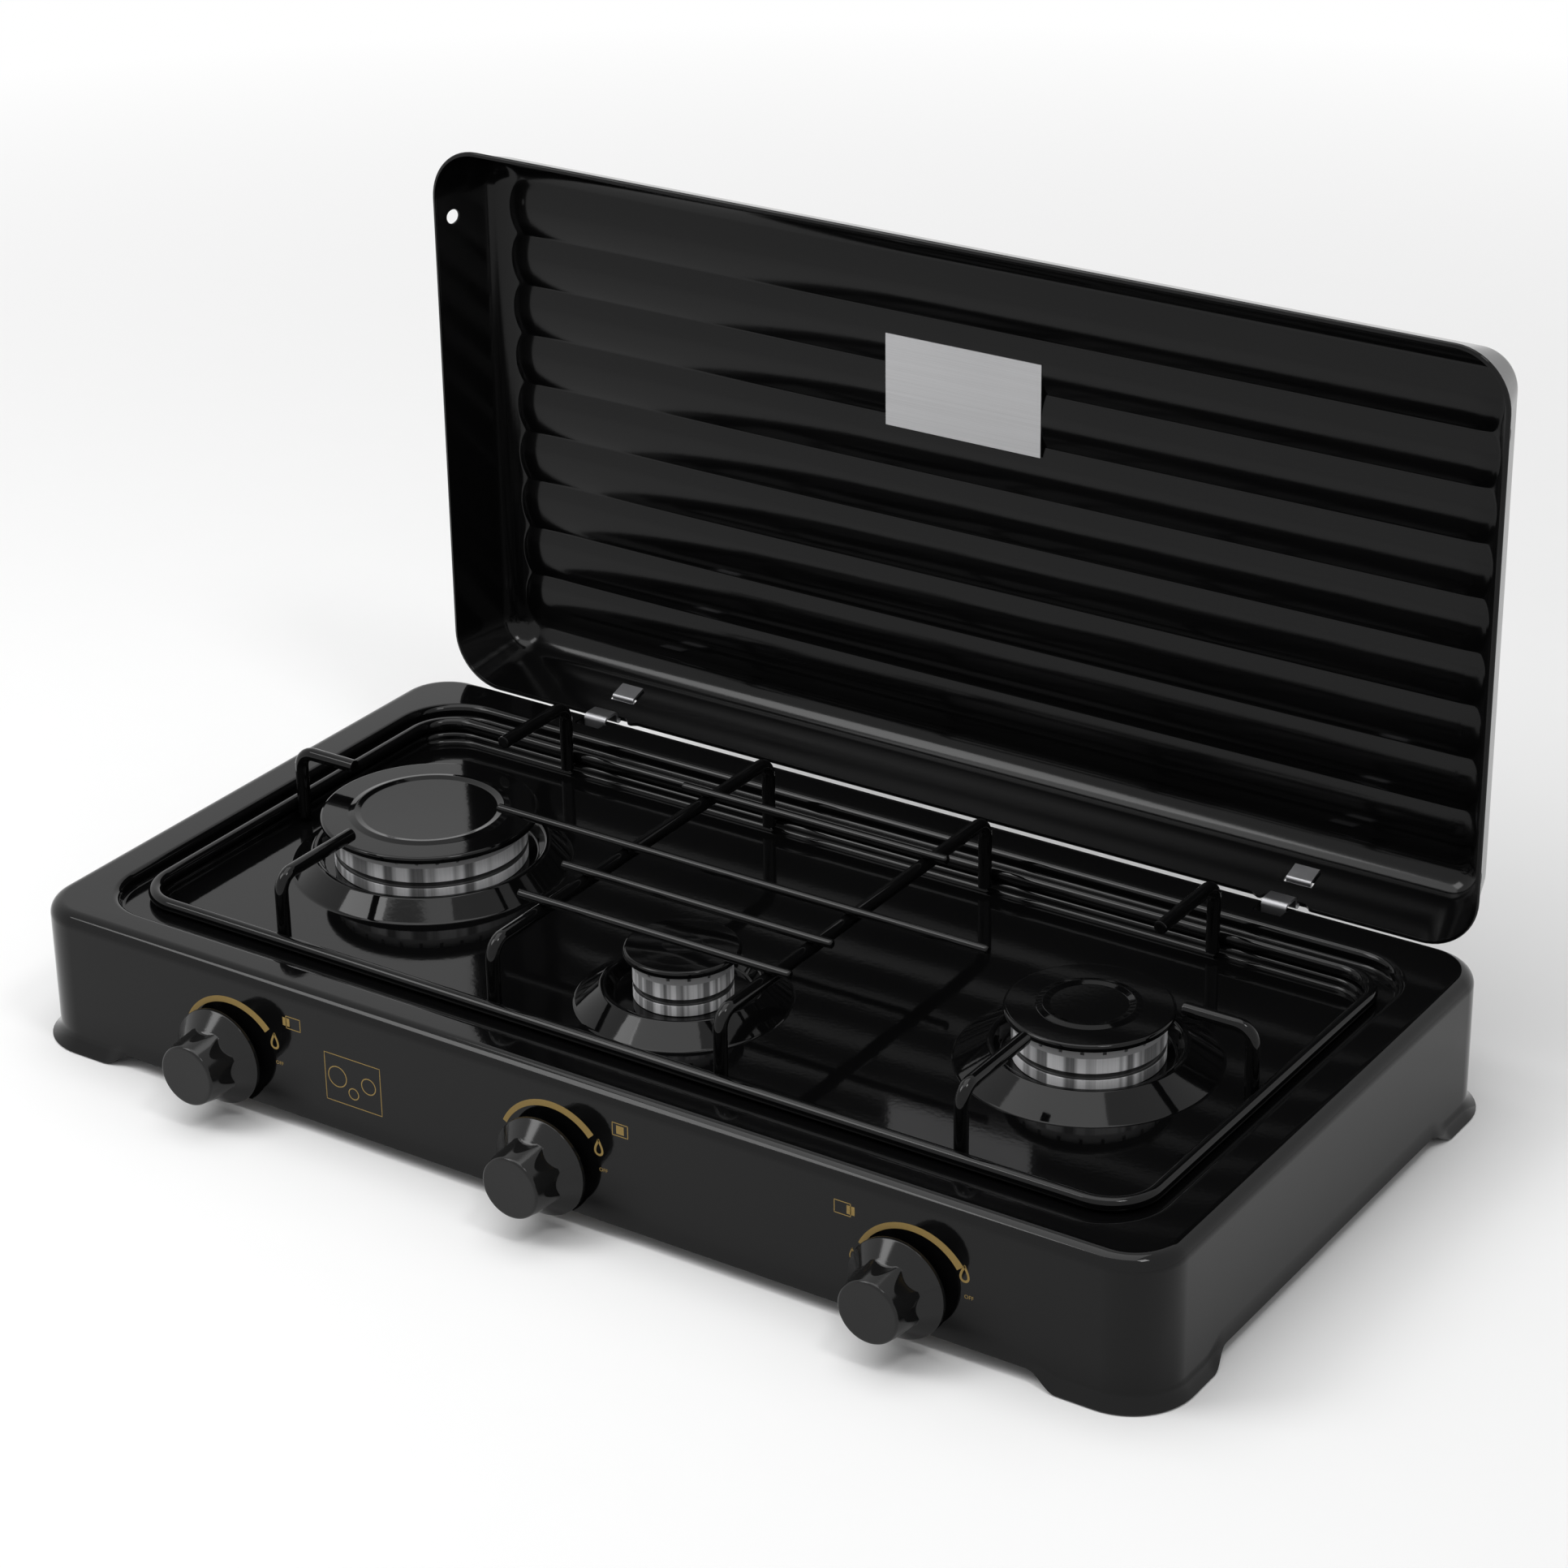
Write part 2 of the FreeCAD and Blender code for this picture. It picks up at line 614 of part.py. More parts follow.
def boss_sheet(which):
    """The raised boss round a burner: a cone outside, a crest, and a dish with a hole inside."""
    base = burner_size(which, "base_radius")
    crest = burner_size(which, "crest_radius")
    dish = crest - s.dish_rim
    hole = hole_radius(which)
    wall = s.sheet_wall
    top = s.boss_height
    low = s.boss_height - s.dish_drop
    crest_flat = s.boss_round * 1.3
    body = turned(f"{which}_boss", [
        (base + wall, 0.0), (crest, top), (crest - crest_flat, top), (dish, low), (hole, low),
        (hole, low - wall), (dish + wall * 0.6, low - wall), (crest - crest_flat + wall * 0.6, top - wall),
        (crest - wall * 0.6, top - wall), (base - wall, -wall), (base + wall, -wall),
    ])
    round_edges(body, s.boss_round, on_level(top))
    x, y = burner_place(which)
    return place(body, x, y, s.floor_z)


def boss_opening(which):
    """What a boss takes out of the plain floor of the well."""
    x, y = burner_place(which)
    return solid("Cylinder", x, y, s.floor_z - s.sheet_wall * 2, Radius=burner_size(which, "base_radius"),
                 Height=s.sheet_wall * 4)


def skirt_cutters():
    """The gaps between the feet: one along X under front and back, one along Y under the sides."""
    cutters = []
    for axis, half in (("XZ_Plane", s.casing_width / 2), ("YZ_Plane", s.casing_depth / 2)):
        body = new_body(f"skirt_gap_{axis[0].lower()}")
        sketch = new_sketch(body, axis)
        low = half - s.foot_side
        high = low - s.foot_run
        outline(sketch, [(-low, -s.skirt_gap), (low, -s.skirt_gap), (low, 0.0), (high, s.skirt_gap),
                         (-high, s.skirt_gap), (-low, 0.0)])
        extrude(body, sketch, "Pad", s.casing_width * 2, symmetric=True)
        round_edges(body, s.foot_run / 3, lambda box: near(box.ZMin, s.skirt_gap)
                    and near(box.ZMax, s.skirt_gap) and max(box.XLength, box.YLength) > 700)
        cutters.append(body)
    return cutters


def foot_flare():
    """The curled lip round the foot of the casing, which the gaps between the feet cut away."""
    body = new_body("flare")
    lip = s.foot_flare
    sections = [(0.0, lip), (s.sheet_wall, lip), (s.skirt_gap + 1.5, 0.0)]
    sketches = []
    for height, out in sections:
        sketch = new_sketch(body, "XY_Plane", height)
        rounded_outline(sketch, -s.casing_width / 2 - out, s.casing_width / 2 + out,
                        -s.casing_depth / 2 - out, s.casing_depth / 2 + out, s.casing_corner + out)
        sketches.append(sketch)
    loft = body.newObject("PartDesign::AdditiveLoft", "flare_loft")
    loft.Profile = sketches[0]
    loft.Sections = sketches[1:]
    loft.Ruled = True
    return body


def edge_strip(name, along_x, sign):
    """The narrow strip along the lower edge of one wall, between its feet."""
    across = s.casing_depth if along_x else s.casing_width
    length = (s.casing_width if along_x else s.casing_depth) - (s.foot_side + s.foot_run) * 2
    middle = (across / 2 + s.lip_out / 2 - s.sheet_wall / 2) * sign
    thick = s.lip_out + s.sheet_wall
    if along_x:
        return solid("Box", -length / 2, middle - thick / 2, s.skirt_gap, Length=length, Width=thick,
                     Height=1.6)
    return solid("Box", middle - thick / 2, -length / 2, s.skirt_gap, Length=thick, Width=length, Height=1.6)


def make_casing():
    """The pressed casing: walls, feet, rim, well and burner bosses in one enamelled sheet."""
    outside = cut(joined([casing_form("casing_outside", OUTER_FACE), foot_flare()]), joined(skirt_cutters()))
    walls = cut(outside, casing_form("casing_inside", s.sheet_wall))
    floor = cut(walls, joined([boss_opening(which) for which in BURNERS]))
    strips = [edge_strip("strip", along, sign) for along in (True, False) for sign in (-1, 1)]
    shell = joined([floor] + [boss_sheet(which) for which in BURNERS] + strips)
    to_front = Rotation(Vector(1, 0, 0), 90)
    holes = [solid("Cylinder", s.knob_spread * side, s.front_y + 5, s.knob_height, to_front,
                   Radius=s.neck_radius + 0.2, Height=12) for side in (-1, 0, 1)]
    holes.append(solid("Cylinder", -s.inlet_x, s.rear_y + 5, s.knob_height, to_front,
                       Radius=s.hose_radius + 0.7, Height=12))
    for which in BURNERS:
        holes += [solid("Cylinder", x, y, s.dish_z - s.sheet_wall * 2, None,
                        Radius=s.screw_radius + s.running_gap, Height=s.sheet_wall * 3)
                  for x, y in screw_spots(which, *burner_place(which))]
    for side in (-1, 1):
        width = s.strap_width + 2
        holes.append(solid("Box", s.hinge_spread * side - width / 2, s.hinge_y - 10.3, s.casing_height - 4,
                           Length=width, Width=10.6, Height=8))
    node(cut(shell, joined(holes)), "casing")


# Gas supply

def make_rail():
    """The gas rail behind the front panel: a tube closed at the right, with a port at each valve."""
    length = s.rail_end_x * 2
    along = Rotation(Vector(0, 1, 0), 90)
    tube = solid("Cylinder", -s.rail_end_x, s.rail_y, s.knob_height, along,
                 Radius=s.rail_radius, Height=length)
    bore = solid("Cylinder", -s.rail_end_x - 1, s.rail_y, s.knob_height, along,
                 Radius=s.rail_bore, Height=length - 3)
    to_front = Rotation(Vector(1, 0, 0), 90)
    ports = [solid("Cylinder", s.knob_spread * side, s.rail_y, s.knob_height, to_front,
                   Radius=s.port_radius, Height=s.rail_radius * 2) for side in (-1, 0, 1)]
    node(cut(tube, joined([bore] + ports)), "gas_rail")


def make_inlet_pipe():
    """The bent tube that brings gas from the hose tail at the back to the left end of the rail."""
    x = -s.inlet_x
    z = s.knob_height
    points = [(-s.rail_end_x, s.rail_y, z), (x, s.rail_y, z), (x, s.rear_y - s.union_length, z)]
    tube = bent_tube(points, s.inlet_bend, s.inlet_radius, s.inlet_bore)
    node(formed("inlet", tube), "inlet_pipe")


def make_hose_tail():
    """The fitting in the back wall: a union with a collar inside, and a barbed tail outside."""
    body = new_body("hose_tail_body")
    sketch = new_sketch(body, "XY_Plane")
    tip = s.sheet_wall + s.hose_length
    barb = s.hose_radius + s.barb_height
    neck_start = s.sheet_wall + s.barb_gap
    neck_end = neck_start + s.neck_length
    pitch = (tip - neck_end - s.tail_tip) / BARBS
    inner_end = s.sheet_wall - s.union_length
    collar = s.inlet_radius + s.union_wall
    points = [(s.hose_bore, inner_end), (collar, inner_end), (collar, 0.0), (s.hose_radius, 0.0),
              (s.hose_radius, neck_start), (barb, neck_start), (barb, neck_end), (s.hose_radius, neck_end)]
    for i in range(BARBS):
        start = neck_end + s.barb_gap + pitch * i
        points += [(s.hose_radius, start), (barb, start), (s.hose_radius, neck_end + pitch * (i + 1))]
    points += [(s.hose_radius - s.barb_height, tip), (s.hose_bore, tip)]
    outline(sketch, points)
    revolve(body, sketch)
    node(body, "hose_tail", -s.inlet_x, s.rear_y - s.sheet_wall, s.knob_height)


def make_valve(side, word):
    """One valve: its body on the rail, its neck through the panel, and the plug that turns inside."""
    x = s.knob_spread * side
    to_front = Rotation(Vector(1, 0, 0), 90)
    back_y = s.rail_y - s.rail_radius
    panel_y = s.front_y + s.sheet_wall
    neck_y = panel_y - s.sheet_wall - s.neck_out
    barrel = solid("Cylinder", x, back_y, s.knob_height, to_front, Radius=s.barrel_radius,
                   Height=back_y - panel_y)
    neck = solid("Cylinder", x, panel_y, s.knob_height, to_front, Radius=s.neck_radius,
                 Height=panel_y - neck_y)
    flange_y = s.rail_y - s.rail_radius - s.flange_wall
    flange = solid("Box", x - s.clamp_width / 2, flange_y, s.knob_height - s.clamp_reach,
                   Length=s.clamp_width, Width=s.flange_wall, Height=s.clamp_reach * 2)
    boss = solid("Cylinder", x, s.feed_y, s.knob_height, None, Radius=s.feed_radius + 2,
                 Height=s.feed_top)
    rail = solid("Cylinder", x - s.clamp_width, s.rail_y, s.knob_height, Rotation(Vector(0, 1, 0), 90),
                 Radius=s.rail_radius + s.running_gap, Height=s.clamp_width * 2)
    stem_hole = solid("Cylinder", x, panel_y, s.knob_height, to_front,
                      Radius=s.stem_radius + s.running_gap, Height=s.neck_out * 4)
    cavity = solid("Cylinder", x, s.cavity_back_y, s.knob_height, to_front,
                   Radius=s.plug_radius + s.running_gap, Height=s.cavity_back_y - s.cavity_front_y)
    front_hole = solid("Cylinder", x, s.cavity_front_y + 1, s.knob_height, to_front,
                       Radius=s.stem_radius + s.running_gap, Height=s.cavity_front_y - panel_y + 3)
    gas_in = solid("Cylinder", x, s.rail_y, s.knob_height, to_front, Radius=s.port_radius,
                   Height=s.rail_y - s.cavity_back_y + 1)
    gas_out = solid("Cylinder", x, s.feed_y, s.knob_height, None, Radius=s.feed_bore,
                    Height=s.feed_top + 1)
    holes = [rail, stem_hole, cavity, front_hole, gas_in, gas_out]
    for sign in (-1, 1):
        holes.append(solid("Cylinder", x, flange_y + s.flange_wall + 1,
                           s.knob_height + s.clamp_screw_z * sign, to_front,
                           Radius=s.screw_radius + s.running_gap, Height=s.flange_wall + 2))
    node(cut(joined([barrel, neck, flange, boss]), joined(holes)), f"valve_body_{word}")

    plug_length = s.cavity_back_y - s.seat_gap - s.plug_front_y
    plug = solid("Cylinder", 0.0, 0.0, 0.0, None, Radius=s.plug_radius, Height=plug_length)
    socket = solid("Cylinder", 0.0, 0.0, s.plug_floor, None, Radius=s.stem_radius + s.running_gap,
                   Height=plug_length)
    passage = solid("Cylinder", 0.0, 0.0, -1.0, None, Radius=s.port_radius, Height=s.plug_floor + 2)
    node(cut(plug, joined([socket, passage])), f"valve_plug_{word}",
         x, s.cavity_back_y - s.seat_gap, s.knob_height, to_front)

    stem = new_body(f"stem_{word}_body")
    sketch = new_sketch(stem, "XZ_Plane")
    back = 0.0
    collar = s.stem_back_y - s.cavity_front_y - s.seat_gap
    tip = s.stem_back_y - s.knob_face_y - s.knob_face_wall - s.seat_gap
    outline(sketch, [(0.0, back), (s.stem_radius, back), (s.stem_radius, collar - s.collar_wall),
                     (s.collar_radius, collar - s.collar_wall), (s.collar_radius, collar),
                     (s.stem_radius, collar), (s.stem_radius, tip), (0.0, tip)])
    revolve(stem, sketch)
    node(stem, f"valve_stem_{word}", x, s.stem_back_y, s.knob_height, to_front)


def spring_shape(length):
    """An unbroken helix of round wire, as pairs of arcs that share their tangents, quarter by quarter."""
    wire = float(s.spring_wire)
    radius = float(s.spring_radius)
    height = float(length) - wire
    quarters = int(s.spring_turns.number) * 4
    pitch = height / float(s.spring_turns)
    points = []
    tangents = []
    for i in range(quarters + 1):
        turn = i * math.pi / 2
        points.append(Vector(radius * math.cos(turn), radius * math.sin(turn), pitch * i / 4))
        along = Vector(-radius * math.sin(turn), radius * math.cos(turn), pitch / (2 * math.pi))
        tangents.append(along.normalize())
    edges = []
    for i in range(quarters):
        edges += biarc(points[i], tangents[i], points[i + 1], tangents[i + 1])
    path = Part.Wire(edges)
    ring = Part.Wire(Part.Circle(points[0], tangents[0], wire / 2).toShape())
    return path.makePipeShell([ring], True, False)


def biarc(start, start_along, end, end_along):
    """Two arcs from start to end with the given directions there and a common tangent between."""
    chord = end - start
    both = start_along + end_along
    share = 2 * (1 - start_along.dot(end_along))
    reach = (-chord.dot(both) + math.sqrt(chord.dot(both) ** 2 + share * chord.dot(chord))) / share
    first = start + start_along * reach
    last = end - end_along * reach
    middle = (first + last) * 0.5
    return [tangent_arc(start, start_along, middle), tangent_arc(end, -end_along, middle)]


def tangent_arc(start, along, end):
    """The arc from start to end that leaves start along the given direction."""
    chord = end - start
    across = chord - along * chord.dot(along)
    height = across.Length
    radius = chord.dot(chord) / (2 * height)
    centre = start + across.normalize() * radius
    halfway = (start + end) * 0.5 - centre
    return Part.Arc(start, centre + halfway.normalize() * radius, end).toShape()


def make_spring(side, word):
    """The return spring of one knob."""
    front = s.cavity_front_y + s.seat_gap + s.collar_wall
    back = s.plug_front_y
    length = back - front - s.running_gap * 2
    node(formed(f"spring_{word}", spring_shape(length)), f"valve_spring_{word}",
         s.knob_spread * side, back - s.running_gap - s.spring_wire / 2, s.knob_height,
         Rotation(Vector(1, 0, 0), 90))


def make_knob(side, word):
    """A moulded knob: a skirt, a cone, a fluted grip, and a hub inside that holds the stem."""
    body = new_body(f"knob_{word}_body")
    sketch = new_sketch(body, "XZ_Plane")
    skirt = s.knob_back_gap
    face = s.knob_out
    wall = s.knob_wall
    grip = s.knob_grip_radius
    rim = s.knob_skirt_radius
    hub = s.stem_radius + s.running_gap
    outline(sketch, [
        (hub, skirt + 1), (hub, face - s.knob_face_wall), (0.0, face - s.knob_face_wall), (0.0, face),
        (grip, face), (grip + s.grip_flare, s.knob_cone_top), (rim, skirt + 2),
        (rim, skirt), (rim - wall, skirt), (rim - wall, skirt + 1), (grip - 3.4, s.knob_cone_top),
        (grip - 3.4, face - s.knob_face_wall - 1), (hub + 3.6, face - s.knob_face_wall - 1),
        (hub + 3.6, skirt + 1),
    ])
    revolve(body, sketch)
    round_edges(body, 1.2, on_level(face))
    flute = new_sketch(body, "XY_Plane", s.knob_cone_top + 0.5)
    circle(flute, grip + s.flute_valley + s.flute_radius, 0.0, s.flute_radius)
    pocket = extrude(body, flute, "Pocket", s.knob_out, reverse=True)
    doc.recompute()
    ring = body.newObject("PartDesign::PolarPattern", f"knob_{word}_flutes")
    ring.Originals = [pocket]
    ring.Axis = (flute, ["N_Axis"])
    ring.Angle = 360
    ring.Occurrences = FLUTES
    body.Tip = ring
    node(body, f"knob_{word}", s.knob_spread * side, s.front_y, s.knob_height,
         Rotation(Vector(1, 0, 0), 90))


def make_clamps():
    """The clamps that hold the valves against the rail, and their screws, as two groups."""
    straps = []
    screws = []
    to_front = Rotation(Vector(1, 0, 0), 90)
    along = Rotation(Vector(0, 1, 0), 90)
    wall = s.strap_wall
    face_y = s.rail_y - s.rail_radius
    for side in (-1, 0, 1):
        x = s.knob_spread * side
        low_x = x - s.clamp_width / 2
        band = solid("Cylinder", low_x, s.rail_y, s.knob_height, along,
                     Radius=s.rail_radius + s.running_gap + wall, Height=s.clamp_width)
        keep = solid("Box", low_x, face_y, s.knob_height - s.clamp_reach, Length=s.clamp_width,
                     Width=s.rail_radius * 3, Height=s.clamp_reach * 2)
        half = doc.addObject("Part::MultiCommon", "common")
        half.Shapes = [band, keep]
        ears = solid("Box", low_x, face_y, s.knob_height - s.clamp_reach, Length=s.clamp_width,
                     Width=wall, Height=s.clamp_reach * 2)
        inside = solid("Cylinder", low_x - 1, s.rail_y, s.knob_height, along,
                       Radius=s.rail_radius + s.running_gap, Height=s.clamp_width + 2)
        holes = [inside]
        for sign in (-1, 1):
            z = s.knob_height + s.clamp_screw_z * sign
            holes.append(solid("Cylinder", x, face_y + wall + 1, z, to_front,
                               Radius=s.screw_radius + s.running_gap, Height=wall + 2))
            head = solid("Cylinder", x, face_y + wall + s.screw_head, z, to_front,
                         Radius=s.screw_radius * 1.8, Height=s.screw_head)
            shank = solid("Cylinder", x, face_y + wall, z, to_front, Radius=s.screw_radius,
                          Height=wall + s.flange_wall + 1)
            screws.append(joined([head, shank]))
        straps.append(cut(joined([half, ears]), joined(holes)))
    group(straps, "valve_clamps")
    group(screws, "clamp_screws")


def group(parts, label):
    """Several separate solids kept together under one name."""
    compound = doc.addObject("Part::Compound", "group")
    compound.Links = parts
    node(compound, label)


# Burners

def make_cup(which):
    """The mixing cup under a burner: a collar that locates the head, a flange, and a bowl."""
    outer = hole_radius(which) - s.collar_gap
    inner = outer - s.cup_wall
    flange = burner_size(which, "head_radius") + 2
    top = s.dish_z - s.sheet_wall
    foot = (outer + s.jet_radius) * 0.6
    low = s.cup_floor_z
    bore = s.jet_radius + s.running_gap
    body = turned(f"cup_{which}", [
        (bore, low), (foot, low), (outer, top - 3), (flange, top - 3), (flange, top), (outer, top),
        (outer, s.dish_z + 4), (inner, s.dish_z + 4), (inner, top - 3), (foot - s.cup_wall, low + 3),
        (bore, low + 3),
    ])
    x, y = burner_place(which)
    holes = [solid("Cylinder", px, py, top - 5, None, Radius=s.screw_radius + s.running_gap, Height=6)
             for px, py in screw_spots(which, 0.0, 0.0)]
    node(cut(body, joined(holes)), f"burner_cup_{which}", x, y)


def screw_spots(which, x, y):
    """Three places for the screws of a cup, hidden under the ring of the head."""
    radius = burner_size(which, "head_radius") - s.head_wall / 2 + 0.8
    spots = []
    for i in range(3):
        turn = math.radians(30 + 120 * i)
        spots.append((x + radius * math.cos(turn), y + radius * math.sin(turn)))
    return spots


def make_cup_screws():
    screws = []
    for which in BURNERS:
        x, y = burner_place(which)
        for px, py in screw_spots(which, x, y):
            head = solid("Cylinder", px, py, s.dish_z - s.sheet_wall - 3 - s.screw_head, None,
                         Radius=s.screw_radius * 1.5, Height=s.screw_head)
            shank = solid("Cylinder", px, py, s.dish_z - s.sheet_wall - 3, None,
                          Radius=s.screw_radius, Height=s.sheet_wall + 3)
            screws.append(joined([head, shank]))
    group(screws, "cup_screws")


def make_injector(which):
    """The jet holder under a cup, with the gas jet standing inside the cup."""
    low = s.cup_floor_z - s.jet_shoulder
    body = turned(f"injector_{which}_body", [
        (s.jet_bore, low), (s.jet_radius + 3, low), (s.jet_radius + 3, s.cup_floor_z),
        (s.jet_radius, s.cup_floor_z), (s.jet_radius, s.cup_floor_z + 5),
        (s.jet_radius * 0.5, s.cup_floor_z + 7), (s.jet_bore, s.cup_floor_z + 7),
    ])
    x, y = burner_place(which)
    node(body, f"injector_{which}", x, y)


def make_feed_pipe(which):
    """The tube from a valve to its injector, bent in an upright plane."""
    x, y = burner_place(which)
    side = BURNERS[which][-1]
    valve_x = s.knob_spread * side
    top = s.knob_height + s.feed_top
    crest = top + s.feed_rise
    jet_z = s.cup_floor_z - s.jet_shoulder
    low = jet_z - s.feed_bend * 1.3
    run = s.rail_y + s.rail_radius + s.feed_bend * 2
    bend_y = (run + y) / 2 - 10
    points = [(0.0, s.feed_y, top), (0.0, s.feed_y, crest), (0.0, run, crest), (0.0, bend_y, low),
              (x - valve_x, y, low), (x - valve_x, y, jet_z)]
    tube = bent_tube(points, s.feed_bend, s.feed_radius, s.feed_bore)
    node(formed(f"feed_{which}", tube), f"feed_pipe_{which}", valve_x)


def make_head(which):
    """A burner head: a turned ring with a groove round it and flame ports cut in its top edge."""
    outer = burner_size(which, "head_radius")
    inner = outer - s.head_wall
    low = s.dish_z + s.running_gap
    top = s.head_top_z + 1
    groove = low + 6.5
    band = groove + 2
    body = turned(f"head_{which}_body", [
        (inner, low), (outer, low), (outer, groove), (outer - s.groove_depth, groove),
        (outer - s.groove_depth, band), (outer, band), (outer, top - 1.5),
        (outer - s.port_slope, top), (inner, top),
    ])
    port = new_sketch(body, "YZ_Plane")
    half = s.port_width / 2
    outline(port, [(-half, top - s.port_drop), (half, top - s.port_drop), (half, top + 1),
                   (-half, top + 1)])
    pocket = extrude(body, port, "Pocket", outer * 2, reverse=True)
    doc.recompute()
    ring = body.newObject("PartDesign::PolarPattern", f"head_{which}_ports")
    ring.Originals = [pocket]
    ring.Axis = (port, ["V_Axis"])
    ring.Angle = 360
    ring.Occurrences = BURNERS[which][5]
    body.Tip = ring
    x, y = burner_place(which)
    node(body, f"burner_head_{which}", x, y)


def make_cap(which):
    """An enamelled burner cap: a low dome with a raised ring, and a spigot that drops into the head."""
    radius = burner_size(which, "cap_radius")
    bead = burner_size(which, "bead_radius")
    spigot = hole_radius(which) - s.collar_gap
    low = s.head_top_z + 1 + s.running_gap
    top = low + s.cap_thick
    crown = top + s.cap_crown
    upper = [(radius, low + 1.2), (radius - 0.6, top - 0.9), (radius - 3, top)]
    if BURNERS[which][1]:
        rise = s.bead_width / 2
        upper += [(bead + rise, top + 0.5), (bead + rise * 0.4, crown), (bead - rise * 0.4, crown),
                  (bead - rise, top + 0.4), (0.0, top - s.cap_dip)]
    else:
        upper += [(radius * 0.6, crown - 0.2), (3.5, crown), (0.0, crown - 0.9)]
    body = turned(f"cap_{which}_body", [
        (0.0, low + 0.4), (spigot - s.cup_wall, low + 0.4), (spigot - s.cup_wall, low - s.spigot_drop),
        (spigot, low - s.spigot_drop), (spigot, low), (radius - 1, low)] + upper)
    x, y = burner_place(which)
    node(body, f"burner_cap_{which}", x, y)


# Wire rack over the burners

def make_loop():
    """The loop that lies on the ledge round the well."""
    z = s.ledge_z + s.seat_gap + s.rack_wire / 2
    side = s.rack_half_x
    corners = [(-side, s.rack_front_y, z), (side, s.rack_front_y, z), (side, s.rack_rear_y, z),
               (-side, s.rack_rear_y, z)]
    start = (0.0, s.rack_rear_y, z)
    rod = bent_rod([start] + corners[3:] + corners[:3] + [start], s.rack_corner, s.rack_wire / 2)
    node(formed("loop", rod), "rack_loop")


def make_fingers():
    """Six fingers: a post inside the loop, a bend, and a level finger that points at a burner."""
    foot = s.floor_z + s.rack_foot_gap
    inset = s.rack_wire + s.weld_gap
    wire = s.rack_wire / 2
    for side, word in ((-1, "left"), (1, "right")):
        x = (s.rack_half_x - inset) * side
        y = s.outer_burner_y + 1
        tip = x - s.side_reach * side
        rod = bent_rod([(x, y, foot), (x, y, s.rack_top), (tip, y, s.rack_top)], s.rack_bend, wire)
        node(formed(f"finger_{word}", rod), f"rack_finger_{word}_side")
        x = s.knob_spread * side
        for y, toward, place_word in ((s.rack_front_y + inset, 1, "front"),
                                      (s.rack_rear_y - inset, -1, "rear")):
            tip = y + s.finger_reach * toward
            rod = bent_rod([(x, y, foot), (x, y, s.rack_top), (x, tip, s.rack_top)], s.rack_bend, wire)
            node(formed(f"finger_{word}_{place_word}", rod), f"rack_finger_{word}_{place_word}")


def make_cross_wires():
    """Two wires that rise from the front of the loop, cross over the middle burner and come down."""
    foot = s.floor_z + s.rack_foot_gap
    inset = s.rack_wire + s.weld_gap
    front = s.rack_front_y + inset
    rear = s.rack_rear_y - inset
    for side, word in ((-1, "left"), (1, "right")):
        x = s.cross_x * side
        rod = bent_rod([(x, front, foot), (x, front, s.rack_top), (x, rear, s.rack_top), (x, rear, foot)],
                       s.rack_bend, s.rack_wire / 2)
        node(formed(f"cross_{word}", rod), f"rack_cross_wire_{word}")


def make_bars():
    """Four thin bars welded across the two cross wires."""
    z = s.rack_top + s.rack_wire / 2 + s.rack_bar / 2 + s.weld_gap
    for name, y, half in (("front", s.bar_front_y, s.bar_half), ("second", s.bar_second_y, s.bar_half),
                          ("long", s.bar_long_y, s.bar_long_half), ("rear", s.bar_rear_y, s.bar_half)):
        bar = solid("Cylinder", 0.0, 0.0, 0.0, None, Radius=s.rack_bar / 2, Height=half * 2)
        node(bar, f"rack_bar_{name}", -half, y, z, Rotation(Vector(0, 1, 0), 90))


# Lid

def lid_form(name, inset):
    """The lid's outside in its own frame, rim on z = 0 and top up, or the space inside it. The ribs are
    pressed into the top from outside, side by side, so that a sharp valley is left between each two."""
    body = new_body(name)
    top = s.lid_depth - inset
    low = -inset * 2
    slope = s.lid_lean / s.lid_depth
    aside = s.lid_bead + inset + slope * low
    half_x = s.lid_length_x / 2 - aside
    half_y = s.lid_length_y / 2 - aside
    sketch = new_sketch(body, "XY_Plane", low)
    rounded_outline(sketch, -half_x, half_x, -half_y, half_y, s.lid_corner - aside)
    pad = extrude(body, sketch, "Pad", top - low)
    pad.TaperAngle = -math.degrees(math.atan(float(slope)))
    pad.setExpression("TaperAngle", f"-atan({slope.formula})")
    round_edges(body, s.lid_fold - inset, on_level(top))

    rib = new_sketch(body, "XZ_Plane", -s.rib_pitch * ((s.rib_count - 1) / 2))
    axis_z = s.lid_depth - s.rib_rise + s.rib_radius
    rib.setExpression("AttachmentOffset.Base.y", axis_z.formula)
    radius = s.rib_radius + inset
    reach = s.lid_length_x / 2 - s.rib_end_inset - s.rib_half
    rib_outline(rib, float(radius), float(reach), radius, reach)
    first = revolve(body, rib, "Groove", "H_Axis")
    doc.recompute()
    row = body.newObject("PartDesign::LinearPattern", f"{name}_ribs")
    row.Originals = [first]
    row.Direction = (rib, ["N_Axis"])
    row.Reversed = False
    row.Mode = "Spacing"
    bind(row, "Offset", s.rib_pitch)
    row.Occurrences = int(s.rib_count.number)
    body.Tip = row
    return body


